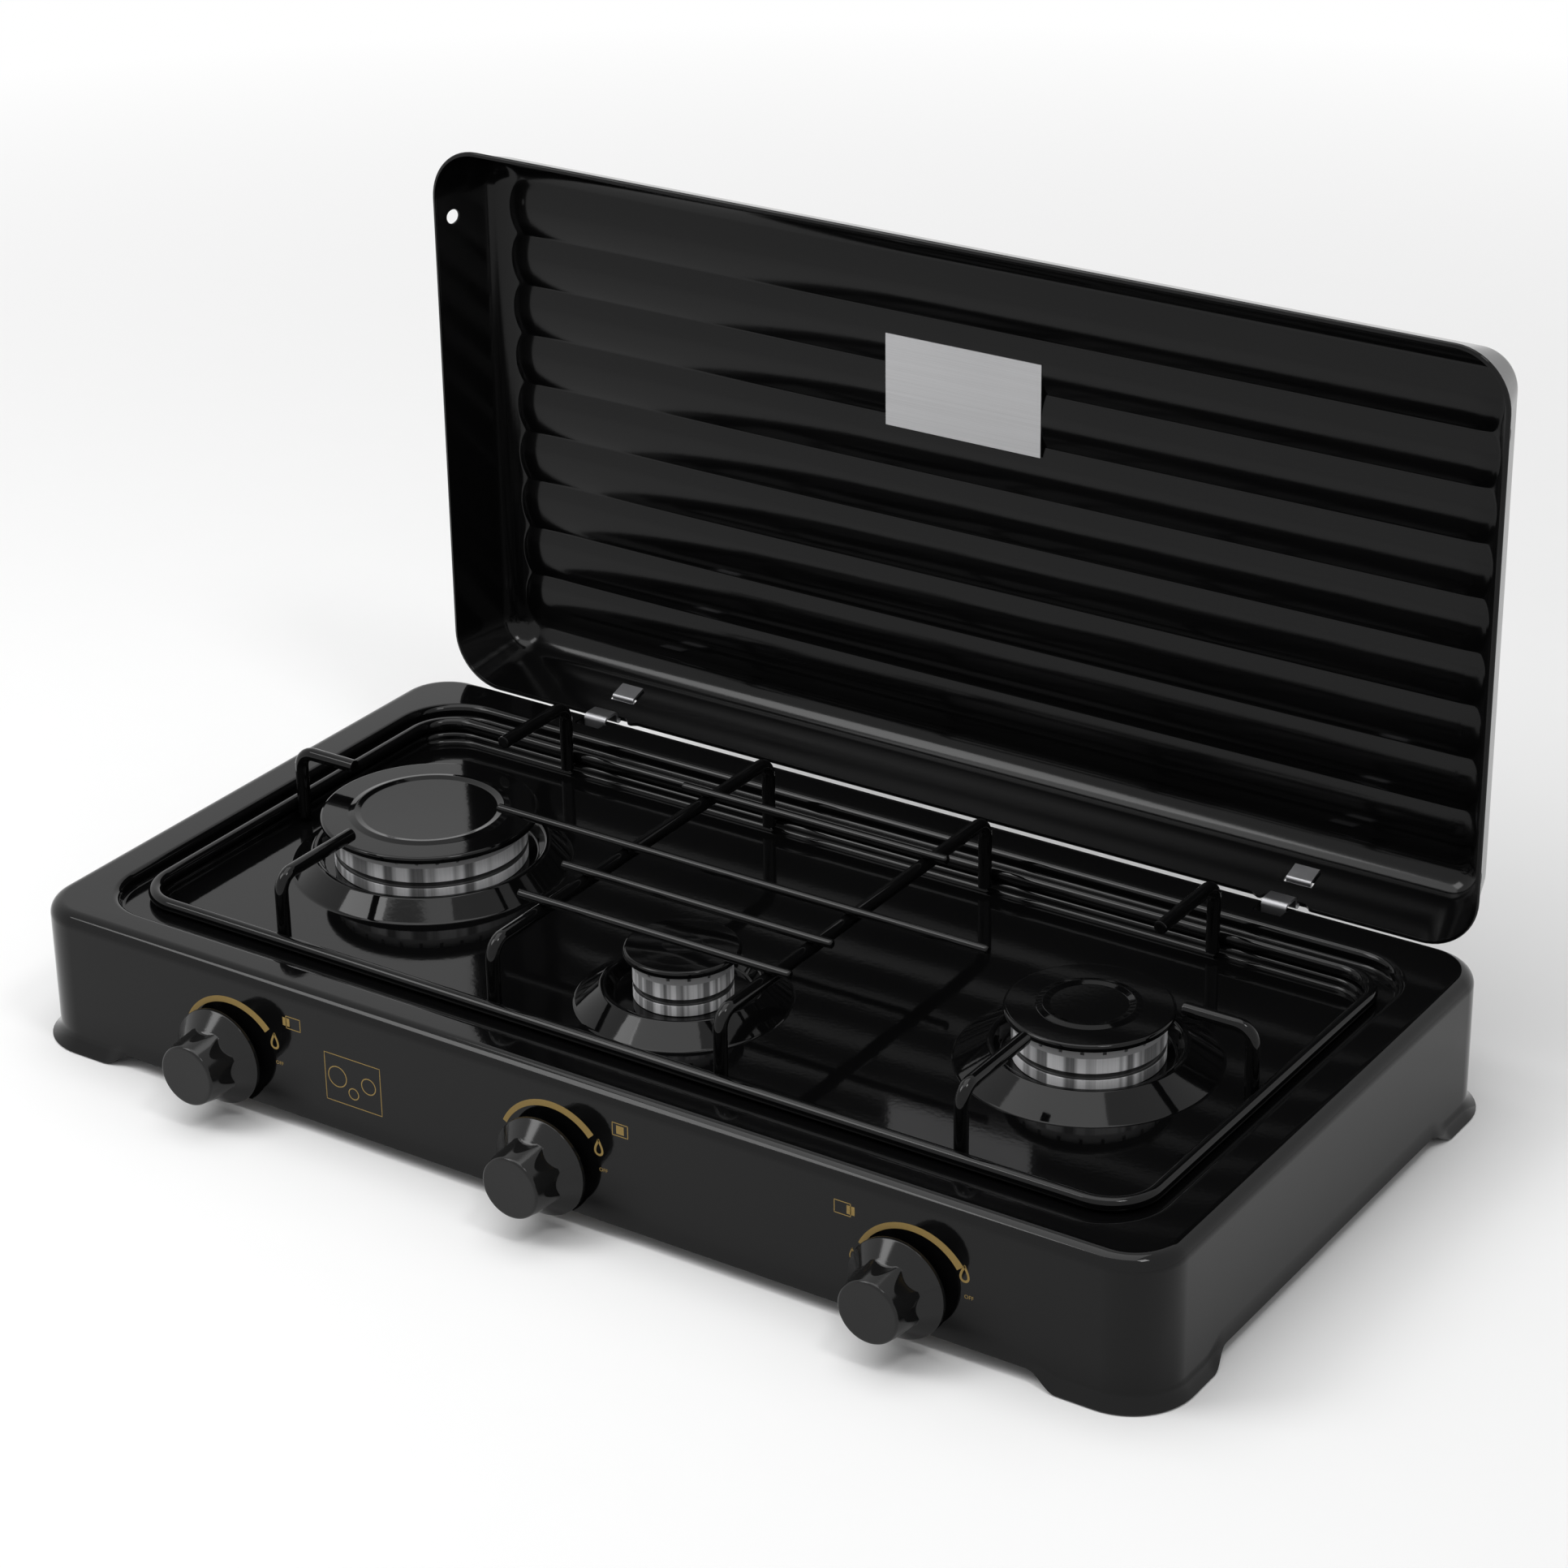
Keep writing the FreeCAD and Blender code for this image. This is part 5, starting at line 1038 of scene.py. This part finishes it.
def knob_patch(size, word):
    """A knob about its axis: a hollow skirt and cone, and a grip that widens towards the cone, where wide
    round flutes leave a ridge between each two. The radius is the smaller of grip and flute."""
    low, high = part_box(f"knob_{word}")
    rim = (high.x - low.x) / 2
    tall = high.y - low.y
    cone = tall - size.cone_top
    grip = size.grip
    foot = grip + size.flare
    lip = size.lip
    outer = dense(rounded([
        (rim - size.wall, 0.0), (rim, 0.0), (rim, lip), (foot, cone), (grip, tall), (0.0, tall - size.dish),
    ], [size.lip_inner, size.lip_outer, size.cone_round, size.edge], KNOB_STEPS), KNOB_RUN)
    hub = size.hub
    hub_outer = hub + size.hub_wall
    hub_end = tall - size.hub_roof
    hollow = grip - size.grip_wall
    hollow_end = tall - size.grip_roof
    inner = np.array([(0.0, hub_end), (hub, hub_end), (hub, size.recess), (hub_outer, size.recess),
                      (hub_outer, hollow_end), (hollow, hollow_end), (hollow, cone),
                      (rim - size.wall, size.recess), (rim - size.wall, 0.0)])
    section = np.concatenate([outer[1:], inner])
    steps = size.flutes * FLUTE_STEPS
    turn = np.linspace(0, 2 * math.pi, steps, endpoint=False)
    radius = np.repeat(section[:, 0][:, None], steps, 1)
    height = np.repeat(section[:, 1][:, None], steps, 1)
    near = (turn + math.pi / size.flutes) % (2 * math.pi / size.flutes) - math.pi / size.flutes
    centre = grip + size.flute_valley + size.flute_radius
    dent = centre * np.cos(near) - np.sqrt(size.flute_radius ** 2 - (centre * np.sin(near)) ** 2)
    cone_radius = rim - (height - lip) * (rim - foot) / (cone - lip)
    outside = (np.arange(len(section)) < len(outer) - 1)[:, None]
    fluted = np.minimum(radius, np.maximum(dent, cone_radius))
    radius = np.where(outside & (height > cone) & (radius > FLUTED_SHARE * grip), fluted, radius)
    points = np.stack([radius * np.cos(turn), radius * np.sin(turn), height], -1)
    return surface(points)


class STOVE_OT_knobs(bpy.types.Operator):
    """Build the moulded knobs with their fluted grips"""

    bl_idname = "stove.knobs"
    bl_label = "Knobs"

    def execute(self, context):
        for word in SIDES:
            patch = knob_patch(context.scene.stove_knobs, word)
            rim_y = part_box(f"knob_{word}")[1].y
            middle = middle_of(f"knob_{word}")
            knob = smooth(build(f"knob_grip_{word}", [facing_front(patch, middle.x, rim_y, middle.z)]))
            finish_piece(knob, f"knob_push_{word}", "black_plastic", finish_of("plastic"), f"knob_{word}")
        return {"FINISHED"}


# Wire rack

SIDE_STEPS = 7
BAR_STEPS = 5
BAR_ROUND = 0.3


def loop_patch(size):
    """The loop that lies on the ledge: a round wire along a rounded rectangle."""
    low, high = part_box("rack_loop")
    wire = (high.z - low.z) / 2
    share = np.linspace(0, 1, SIDE_STEPS)[1:-1]
    path = ring((low.x + wire, high.x - wire, low.y + wire, high.y - wire), size.corner, share, share)
    path = np.column_stack([path, np.full(len(path), low.z + wire)])
    return tube(path, wire, (0, 0, 1), closed=True)


def finger_patch(size, node_name, along, wire):
    """A post and the level finger bent from it; along is 0 for a finger along X and 1 for one along Y.
    The post is at the end that is further from the middle of the loop."""
    low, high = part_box(node_name)
    middle = middle_of("rack_loop")
    aside = 1 - along
    near = low[along] + wire
    far = high[along] - wire
    post_is_high = (low[along] + high[along]) / 2 > middle[along]
    post = far if post_is_high else near
    tip = low[along] if post_is_high else high[along]
    points = np.zeros((3, 3))
    points[:, aside] = (low[aside] + high[aside]) / 2
    points[:, along] = (post, post, tip)
    points[:, 2] = (low.z, high.z - wire, high.z - wire)
    across = [0.0, 0.0, 0.0]
    across[aside] = 1.0
    return tube(rounded(points, [size.bend], BEND_STEPS), wire, across)


def cross_patch(size, node_name, wire):
    """A wire that rises, crosses the well and comes down."""
    low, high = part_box(node_name)
    x = (low.x + high.x) / 2
    top = high.z - wire
    front = low.y + wire
    rear = high.y - wire
    points = [(x, front, low.z), (x, front, top), (x, rear, top), (x, rear, low.z)]
    return tube(rounded(points, [size.bend] * 2, BEND_STEPS), wire, (1, 0, 0))


def bar_patch(node_name):
    """A straight thin bar along X with rounded ends."""
    low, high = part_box(node_name)
    middle = (low + high) / 2
    path = [(x, middle.y, middle.z) for x in np.linspace(low.x, high.x, BAR_STEPS)]
    return tube(path, (high.z - low.z) / 2, (0, 1, 0), end_round=BAR_ROUND)


class STOVE_OT_rack(bpy.types.Operator):
    """Build the bent wires of the rack"""

    bl_idname = "stove.rack"
    bl_label = "Wire rack"

    def execute(self, context):
        size = context.scene.stove_rack
        low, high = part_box("rack_loop")
        wire = (high.z - low.z) / 2
        patches = {"rack_loop": loop_patch(size)}
        for side in ("left", "right"):
            patches[f"rack_finger_{side}_side"] = finger_patch(size, f"rack_finger_{side}_side", 0, wire)
            patches[f"rack_cross_wire_{side}"] = cross_patch(size, f"rack_cross_wire_{side}", wire)
            for end in ("front", "rear"):
                name = f"rack_finger_{side}_{end}"
                patches[name] = finger_patch(size, name, 1, wire)
        for bar in ("front", "second", "long", "rear"):
            patches[f"rack_bar_{bar}"] = bar_patch(f"rack_bar_{bar}")
        for name, patch in patches.items():
            wire_piece = smooth(build(name.replace("rack_", "wire_"), [patch]))
            finish_piece(wire_piece, "rack", "black_enamel", finish_of("enamel"), name)
        return {"FINISHED"}


# Lid

# Points from the lid's middle to its corner: as far as the hinge, past it, on to the ribs' ends and past
# them. The two margins are before and after a hinge, and the third is where the ribs' ends begin.
MIDDLE_STEPS = 12
HINGE_STEPS = 26
PLAIN_STEPS = 3
RIB_END_STEPS = 20
BEFORE_HINGE = 22 * MM
AFTER_HINGE = 16 * MM
RIB_END_MARGIN = 30 * MM
HEIGHT_STEPS = 244
LID_FOLD_STEPS = 18
LID_WALL_STEPS = 7
# A ring of points between the fold's end and the corner's radius.
LAST_RING = 26.2 * MM
ROLL_SIDES = 12
ROLL_SKIP = 8
HOLE_REACH = 20 * MM
SLOT_REACH = 10 * MM


def lid_stations(size, half_x, half_z, hinge_x):
    """Places of the points along the lid's two straight sides: close where ribs end and at the hinges."""
    end = half_x - size.corner
    first = hinge_x - BEFORE_HINGE
    second = hinge_x + AFTER_HINGE
    third = end - RIB_END_MARGIN
    x = np.concatenate([
        np.linspace(0, first, MIDDLE_STEPS)[1:], np.linspace(first, second, HINGE_STEPS)[1:],
        np.linspace(second, third, PLAIN_STEPS)[1:-1], np.linspace(third, end, RIB_END_STEPS),
    ])
    x = np.concatenate([-x[::-1], [0.0], x])
    z = np.linspace(size.corner - half_z, half_z - size.corner, HEIGHT_STEPS)
    return x, z


def lid_rim_lift(size, x, at_bottom, hinge_x):
    """How far the rim is cut back: a long shallow relief, and a deeper notch at each hinge."""
    relief = size.relief * smoothstep((size.relief_half - np.abs(x)) / size.cut_edge + 0.5)
    from_hinge = np.abs(np.abs(x) - hinge_x)
    notch = size.notch * smoothstep((size.notch_half - from_hinge) / size.cut_edge + 0.5)
    return np.where(at_bottom, np.maximum(relief, notch), 0.0)


def pressed(size, x, z, half_x, depth):
    """Depth of the sheet where a depth without ribs is given: each rib is a long capsule pressed in from
    the top, and the smaller depth counts. The rib's round section has the radius
    (half^2 + rise^2) / (2 rise)."""
    radius = (size.half ** 2 + size.rise ** 2) / (2 * size.rise)
    number = np.clip(np.round(z / size.pitch), -(size.ribs // 2), size.ribs // 2)
    beyond = np.maximum(np.abs(x) - (half_x - size.end_inset - size.half), 0)
    distance = beyond ** 2 + (z - number * size.pitch) ** 2
    rib = size.depth - size.rise + radius - np.sqrt(np.maximum(radius ** 2 - distance, 0))
    return -soft_max(-rib, -depth, size.blend)


def lid_patches(size, half_x, half_z, hinge_x):
    """The lid as a sheet in its own plane: rings from the rim up the leaning wall and over the fold, then a
    grid over the middle. The ribs are pressed into the fold and the top."""
    x_places, z_places = lid_stations(size, half_x, half_z, hinge_x)
    end_x = half_x - size.corner
    end_z = half_z - size.corner
    along_x = (x_places + end_x) / (2 * end_x)
    along_z = (z_places + end_z) / (2 * end_z)
    slope = size.lean / size.depth
    section = rounded([(size.bead, 0.0), (size.bead + size.lean, size.depth), (size.corner, size.depth)],
                      [size.fold], LID_FOLD_STEPS)
    wall_end = section[1]
    share = np.linspace(0, 1, LID_WALL_STEPS)[:-1]
    wall = [(size.bead + slope * depth, depth) for depth in wall_end[1] * share]
    rows = []
    box = (-half_x, half_x, -half_z, half_z)
    for amount, depth in wall:
        flat = ring(inset(box, amount), size.corner - amount, along_x, along_z)
        lift = lid_rim_lift(size, flat[:, 0], flat[:, 1] < size.corner - half_z, hinge_x)
        raised = lift + depth * (wall_end[1] - lift) / wall_end[1]
        shift = slope * (raised - depth)
        flat = ring_outset(inset(box, amount), size.corner - amount, along_x, along_z, -shift)
        rows.append(np.column_stack([flat, raised]))
    for amount, depth in list(section[1:-1]) + [(LAST_RING, size.depth), (size.corner, size.depth)]:
        flat = ring(inset(box, amount), size.corner - amount, along_x, along_z)
        rows.append(np.column_stack([flat, pressed(size, flat[:, 0], flat[:, 1], half_x, depth)]))
    x, z = np.meshgrid(np.concatenate([[-end_x], x_places[1:-1], [end_x]]), z_places, indexing="ij")
    depth = pressed(size, x, z, half_x, size.depth)
    middle = surface(np.stack([x, z, depth], -1), closed_columns=False)
    return [surface(np.stack(rows)), middle]


def lid_bead(size, half_x, half_z, hinge_x):
    """The rolled rim: a round roll that follows the lid's edge and its relief."""
    x_places, z_places = lid_stations(size, half_x, half_z, hinge_x)
    end_x = half_x - size.corner
    end_z = half_z - size.corner
    roll = size.bead_height / 2
    flat = ring(inset((-half_x, half_x, -half_z, half_z), roll), size.corner - roll,
                (x_places + end_x) / (2 * end_x), (z_places[::ROLL_SKIP] + end_z) / (2 * end_z))
    lift = lid_rim_lift(size, flat[:, 0], flat[:, 1] < size.corner - half_z, hinge_x)
    path = np.column_stack([flat, roll + lift])
    return tube(path, roll, (0, 0, 1), closed=True, sides=ROLL_SIDES)


def stand_up(patch, middle, rim_y):
    """From the lid's own plane (across, up, depth) to its open place."""
    points, faces = patch
    return np.stack([points[:, 0] + middle.x, rim_y + points[:, 2], points[:, 1] + middle.z], -1), faces


def lid_cuts(size, middle, low, high, hinge_x):
    """Cutters for the side holes and for the slots of the straps' tabs."""
    cutters = []
    for x, up in ((low.x, size.hole_left), (high.x, size.hole_right), (high.x, -size.hole_low)):
        cutters.append(lying(drill(size.hole, HOLE_REACH), x, low.y + size.hole_back, middle.z + up))
    for x in (-hinge_x, hinge_x):
        cutters.append(block((x - size.slot_half, low.y + size.slot_near, low.z - SLOT_REACH),
                             (x + size.slot_half, low.y + size.slot_far, low.z + size.slot_rise)))
    return cutters


class STOVE_OT_lid(bpy.types.Operator):
    """Build the pressed lid with its ribs and rolled rim"""

    bl_idname = "stove.lid"
    bl_label = "Lid"

    def execute(self, context):
        size = context.scene.stove_lid
        low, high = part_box("lid")
        half_x = (high.x - low.x) / 2
        half_z = (high.z - low.z) / 2
        middle = (low + high) / 2
        hinge_x = middle_of("hinge_pin_right").x
        patches = [stand_up(patch, middle, low.y) for patch in lid_patches(size, half_x, half_z, hinge_x)]
        lid = thicken(build("lid_pan", patches, outward=(0, 1, 0)), context.scene.stove_casing.wall)
        cut_out(lid, lid_cuts(size, middle, low, high, hinge_x))
        bead = build("lid_roll", [stand_up(lid_bead(size, half_x, half_z, hinge_x), middle, low.y)])
        smooth(lid)
        smooth(bead)
        finish_piece(lid, "lid", "black_enamel", finish_of("lid_enamel"), "lid")
        finish_piece(bead, "lid", "black_enamel", finish_of("enamel"))
        return {"FINISHED"}


# Print on the panel. Places are across and up from the middle of a knob; the ones in threes are for the
# left, the middle and the right knob, and turns are in degrees from straight up.

INK = 0.06 * MM
ARC_RADIUS = 28.8 * MM
ARC_START = -64
ARC_ENDS = (48, 48, 54)
ARC_STEPS_ROUND = 40
ARC_WIDTH = 2.3 * MM
ARC_GROWTH = 1.6 * MM
ARC_PLACE = (4.2 * MM, -1.4 * MM)
DROP_STEPS = 32
DROP_PINCH = 1.6
FLAME_SIZE = (5.6 * MM, 7.6 * MM)
FLAME_LINE = 1.1 * MM
FLAME_PLACE = (29.6 * MM, 13.8 * MM)
SMALL_FLAME_SIZE = (3.4 * MM, 5.6 * MM)
SMALL_FLAME_PLACE = (-25.8 * MM, 5.0 * MM)
SIGN_SIZE = (8.2 * MM, 6.2 * MM)
SIGN_ACROSS = (41.5 * MM, 41.5 * MM, -30.5 * MM)
SIGN_UP = 26 * MM
SIGN_BAR = (4.0 * MM, 4.2 * MM)
BAR_ACROSS = (-4.1 * MM, 0.0, 4.1 * MM)
SIDE_POINTS = 9
THIN_LINE = 0.4 * MM
LINE = 0.5 * MM
WORD_HEIGHT = 2.6 * MM
WORD_PLACE = (31.8 * MM, 2.0 * MM)
MIDDLE_SHIFT = Vector((-1.8 * MM, 0.0, 1.5 * MM))
BADGE_PLACE = (75 * MM, 5 * MM)
BADGE_SIZE = (32 * MM, 24.5 * MM)
# Each of the badge's rings: its place in the badge and its radius.
BADGE_RINGS = ((-9.0 * MM, 1.0 * MM, 5.2 * MM), (0.0, -5.5 * MM, 2.8 * MM), (9.0 * MM, 1.0 * MM, 4.0 * MM))


def arc_points(radius, start, end, steps=ARC_STEPS_ROUND):
    """Points on an arc about the origin, in degrees from straight up and clockwise."""
    turn = np.radians(np.linspace(start, end, steps))
    return np.stack([radius * np.sin(turn), radius * np.cos(turn)], 1)


def drop_points(width, height):
    """A flame-like drop: a circle whose upper half is drawn out to a point."""
    turn = np.linspace(0, 2 * math.pi, DROP_STEPS, endpoint=False)
    pinch = np.sin(turn / 2) ** DROP_PINCH
    return np.stack([width / 2 * np.sin(turn) * pinch, height / 2 * np.cos(turn)], 1)


def frame_points(width, height):
    """The four corners of an upright rectangle about the origin, closed, with points along its sides."""
    x = width / 2
    z = height / 2
    corners = np.array([(-x, -z), (x, -z), (x, z), (-x, z)])
    share = np.linspace(0, 1, SIDE_POINTS)[:-1, None]
    sides = [one + (two - one) * share for one, two in zip(corners, np.roll(corners, -1, 0))]
    return np.concatenate(sides)


def bar_points(width):
    """A straight level line about the origin."""
    return np.array([(-width / 2, 0.0), (0.0, 0.0), (width / 2, 0.0)])


class STOVE_OT_print(bpy.types.Operator):
    """Print the arcs, signs and words beside the knobs, and plain rings in place of a name"""

    bl_idname = "stove.print"
    bl_label = "Print"

    def execute(self, context):
        for which, word in enumerate(SIDES):
            knob = middle_of(f"knob_{word}")
            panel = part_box("casing")[0].y + context.scene.stove_casing.foot_flare
            if word == "middle":
                knob = knob + MIDDLE_SHIFT
            finish_piece(knob_print(word, which, knob, panel), "root", None, finish_of("print"))
        finish_piece(badge_print(panel), "root", None, finish_of("print"))
        return {"FINISHED"}


def knob_print(word, which, knob, panel):
    """The print round one knob: an arc that thickens to the right, a flame, the sign of its burner and a
    word. The right knob has a second, smaller flame."""
    arc = arc_points(ARC_RADIUS, ARC_START, ARC_ENDS[which])
    widths = ARC_WIDTH + ARC_GROWTH * np.linspace(0, 1, len(arc))
    sign = (SIGN_ACROSS[which], SIGN_UP)
    bar = (SIGN_ACROSS[which] + BAR_ACROSS[which], SIGN_UP)
    lines = [
        (ribbon(arc, widths, INK), ARC_PLACE),
        (ribbon(drop_points(*FLAME_SIZE), FLAME_LINE, INK, closed=True), FLAME_PLACE),
        (ribbon(frame_points(*SIGN_SIZE), THIN_LINE, INK, closed=True), sign),
        (ribbon(bar_points(SIGN_BAR[0]), SIGN_BAR[1], INK), bar),
    ]
    if word == "right":
        small = ribbon(drop_points(*SMALL_FLAME_SIZE), LINE, INK, closed=True)
        lines.append((small, SMALL_FLAME_PLACE))
    printed = build(f"print_{word}", [moved(line, knob.x + x, panel, knob.z + z) for line, (x, z) in lines])
    letters = word_mesh("OFF", WORD_HEIGHT, knob.x + WORD_PLACE[0], panel, knob.z + WORD_PLACE[1])
    return join_into(printed, letters)


def word_mesh(text, height, x, panel, z):
    """A short word as a thin mesh on the panel."""
    curve = bpy.data.curves.new("word", "FONT")
    curve.body = text
    curve.size = height
    curve.extrude = INK / 2
    curve.align_x = "CENTER"
    words = bpy.data.objects.new("word", curve)
    bpy.context.scene.collection.objects.link(words)
    depsgraph = bpy.context.evaluated_depsgraph_get()
    mesh = bpy.data.meshes.new_from_object(words.evaluated_get(depsgraph))
    bpy.data.objects.remove(words)
    mesh.transform(Matrix.Translation((x, panel - INK / 2, z)) @ Matrix.Rotation(math.pi / 2, 4, "X"))
    return mesh


def join_into(piece, mesh):
    """Add another mesh's faces to a piece."""
    work = bmesh.new()
    work.from_mesh(piece.data)
    work.from_mesh(mesh)
    work.to_mesh(piece.data)
    work.free()
    bpy.data.meshes.remove(mesh)
    return piece


def badge_print(panel):
    """Three plain rings in a frame, one for each burner, where a maker would put a name."""
    middle = middle_of("knob_left")
    x = middle.x + BADGE_PLACE[0]
    z = middle.z + BADGE_PLACE[1]
    patches = [moved(ribbon(frame_points(*BADGE_SIZE), THIN_LINE, INK, closed=True), x, panel, z)]
    for across, up, radius in BADGE_RINGS:
        circle = arc_points(radius, 0, 360, ARC_STEPS_ROUND + 1)[:-1]
        patches.append(moved(ribbon(circle, LINE, INK, closed=True), x + across, panel, z + up))
    return build("print_badge", patches)


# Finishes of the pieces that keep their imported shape

class STOVE_OT_fittings(bpy.types.Operator):
    """Give the gas fittings, hinges and fasteners their metal finishes"""

    bl_idname = "stove.fittings"
    bl_label = "Fittings"

    def execute(self, context):
        kinds = {
            "brass": ("valve_body", "valve_plug", "injector"),
            "zinc": ("gas_rail", "inlet_pipe", "hose_tail", "valve_clamps", "clamp_screws", "cup_screws",
                     "valve_stem", "hinge_strap", "hinge_pin", "hinge_bracket"),
            "plate": ("burner_cup", "feed_pipe", "lid_plate"),
            "spring": ("valve_spring",),
        }
        for name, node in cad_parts.items():
            if node.hide_render:
                continue
            for finish, starts in kinds.items():
                if name.startswith(starts):
                    node.data.materials.clear()
                    node.data.materials.append(finish_of(finish))
        return {"FINISHED"}


# Stage

CAMERA_PLACE = (0.97920, -1.43134, 0.98306)
CAMERA_AZIMUTH = math.radians(-33.902)
CAMERA_ELEVATION = math.radians(25.81)
CAMERA_ROLL = math.radians(-0.872)
CAMERA_LENS = 96.405
SENSOR_WIDTH = 36
# Radii of the floor's rings, and the distances over which it goes from matt to plain white.
FLOOR_RADII = (0.0, 1.2, 9.0)
FLOOR_STEPS = 48
FLOOR_MATT = 0.7
FLOOR_WHITE = 1.8
# Strength of the surroundings as a light; seen directly they are plain white.
AMBIENT = 0.5
# Each lamp's name, place, width and power.
LAMPS = (
    ("overhead_lamp", (-0.3, -0.1, 2.0), 1.6, 17),
    ("front_left_lamp", (-1.1, -0.96, 1.64), 0.8, 12),
    ("right_lamp", (0.86, -0.37, 1.77), 0.35, 4.6),
)
LAMP_TARGET = (0, 0, 0.05)


def camera_matrix():
    """The camera's place and its turn: the view direction from azimuth and elevation, then the roll."""
    azimuth, elevation = CAMERA_AZIMUTH, CAMERA_ELEVATION
    ahead = Vector((math.sin(azimuth) * math.cos(elevation), math.cos(azimuth) * math.cos(elevation),
                    -math.sin(elevation)))
    right = Vector((math.cos(azimuth), -math.sin(azimuth), 0.0))
    up = right.cross(ahead)
    rolled_right = right * math.cos(CAMERA_ROLL) + up * math.sin(CAMERA_ROLL)
    rolled_up = up * math.cos(CAMERA_ROLL) - right * math.sin(CAMERA_ROLL)
    turn = Matrix((rolled_right, rolled_up, -ahead)).transposed().to_4x4()
    return Matrix.Translation(CAMERA_PLACE) @ turn


def soft_lamp(name, place, size, power):
    """A square soft lamp that faces the stove."""
    light = bpy.data.lights.new(name, "AREA")
    light.size = size
    light.energy = power
    lamp = bpy.data.objects.new(name, light)
    lamp.location = place
    lamp.rotation_mode = "QUATERNION"
    lamp.rotation_quaternion = (Vector(LAMP_TARGET) - Vector(place)).to_track_quat("-Z", "Y")
    bpy.context.scene.collection.objects.link(lamp)


def seen_directly(finish):
    """1 for rays that see the background themselves or in a reflection or through glass, and else 0."""
    path = finish.add("ShaderNodeLightPath", {}, {})
    outputs = path.output.node.outputs
    seen = Socket(finish, outputs["Is Camera Ray"])
    for name in ("Is Glossy Ray", "Is Transmission Ray"):
        seen = seen + Socket(finish, outputs[name])
    return seen.clamped()


class World(Finish):
    """The same helper on a world's node tree."""

    def __init__(self, name):
        self.world = bpy.data.worlds.new(name)
        self.world.use_nodes = True
        self.tree = self.world.node_tree
        self.shader = self.tree.nodes["Background"]


def floor_finish(colours):
    """A pale floor: matt near the stove, so that it keeps the shadow, and plain white further out."""
    finish = Finish("pale_floor")
    place = finish.place()
    x, y = finish.split(place)[:2]
    distance = (x * x + y * y) ** 0.5
    far = finish.ramp(distance, FLOOR_MATT, FLOOR_WHITE)
    grain = finish.noise(place, scale=30.0)
    finish.set(Base_Color=finish.mix(grain, shade(colours.floor, share=0.99), shade(colours.floor)),
               Roughness=0.9)
    white = finish.add("ShaderNodeEmission", {}, {"Color": (1, 1, 1, 1), "Strength": 1.0})
    output = finish.tree.nodes["Material Output"]
    both = finish.add("ShaderNodeMixShader", {}, {0: far * seen_directly(finish),
                                                  1: Socket(finish, finish.shader.outputs[0]), 2: white})
    finish.tree.links.new(both.output, output.inputs["Surface"])
    return finish.material


class STOVE_OT_stage(bpy.types.Operator):
    """Set the floor, the soft light, the white surroundings and the camera"""

    bl_idname = "stove.stage"
    bl_label = "Stage"

    def execute(self, context):
        scene = context.scene
        rings = [(radius, 0.0) for radius in FLOOR_RADII]
        floor = build("floor", [turned(rings, FLOOR_STEPS)], outward=(0, 0, 1))
        floor.data.materials.append(floor_finish(scene.stove_colours))
        surroundings = World("white_surroundings")
        seen = seen_directly(surroundings)
        surroundings.set(Color=(1, 1, 1, 1), Strength=AMBIENT + (1 - AMBIENT) * seen)
        scene.world = surroundings.world
        for lamp in LAMPS:
            soft_lamp(*lamp)
        camera = bpy.data.objects.new("camera", bpy.data.cameras.new("camera"))
        camera.data.lens = CAMERA_LENS
        camera.data.sensor_width = SENSOR_WIDTH
        camera.matrix_world = camera_matrix()
        scene.collection.objects.link(camera)
        scene.camera = camera
        scene.view_settings.view_transform = "Standard"
        return {"FINISHED"}


OPERATORS = (STOVE_OT_stage, STOVE_OT_casing, STOVE_OT_heads, STOVE_OT_caps, STOVE_OT_knobs, STOVE_OT_rack,
             STOVE_OT_lid, STOVE_OT_print, STOVE_OT_fittings)
SETTINGS = {
    "stove_casing": StoveCasingSizes, "stove_burners": StoveBurnerSizes, "stove_knobs": StoveKnobSizes,
    "stove_rack": StoveRackSizes, "stove_lid": StoveLidSizes, "stove_colours": StoveColours,
}


class STOVE_PT_panel(bpy.types.Panel):
    """The stove's operators in the sidebar of the 3D view"""

    bl_idname = "STOVE_PT_panel"
    bl_label = "Camping stove"
    bl_space_type = "VIEW_3D"
    bl_region_type = "UI"
    bl_category = "Stove"

    def draw(self, context):
        for operator in OPERATORS:
            self.layout.operator(operator.bl_idname)


def register():
    """Add the settings, the operators and the panel."""
    for group in SETTINGS.values():
        bpy.utils.register_class(group)
    for name, group in SETTINGS.items():
        setattr(bpy.types.Scene, name, PointerProperty(type=group))
    for operator in OPERATORS:
        bpy.utils.register_class(operator)
    bpy.utils.register_class(STOVE_PT_panel)


def unregister():
    """Take them away again."""
    bpy.utils.unregister_class(STOVE_PT_panel)
    for operator in reversed(OPERATORS):
        bpy.utils.unregister_class(operator)
    for name in SETTINGS:
        delattr(bpy.types.Scene, name)
    for group in reversed(SETTINGS.values()):
        bpy.utils.unregister_class(group)


def main():
    """Register the add-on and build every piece."""
    register()
    for operator in OPERATORS:
        family, action = operator.bl_idname.split(".")
        getattr(getattr(bpy.ops, family), action)()


if __name__ == "__main__":
    main()
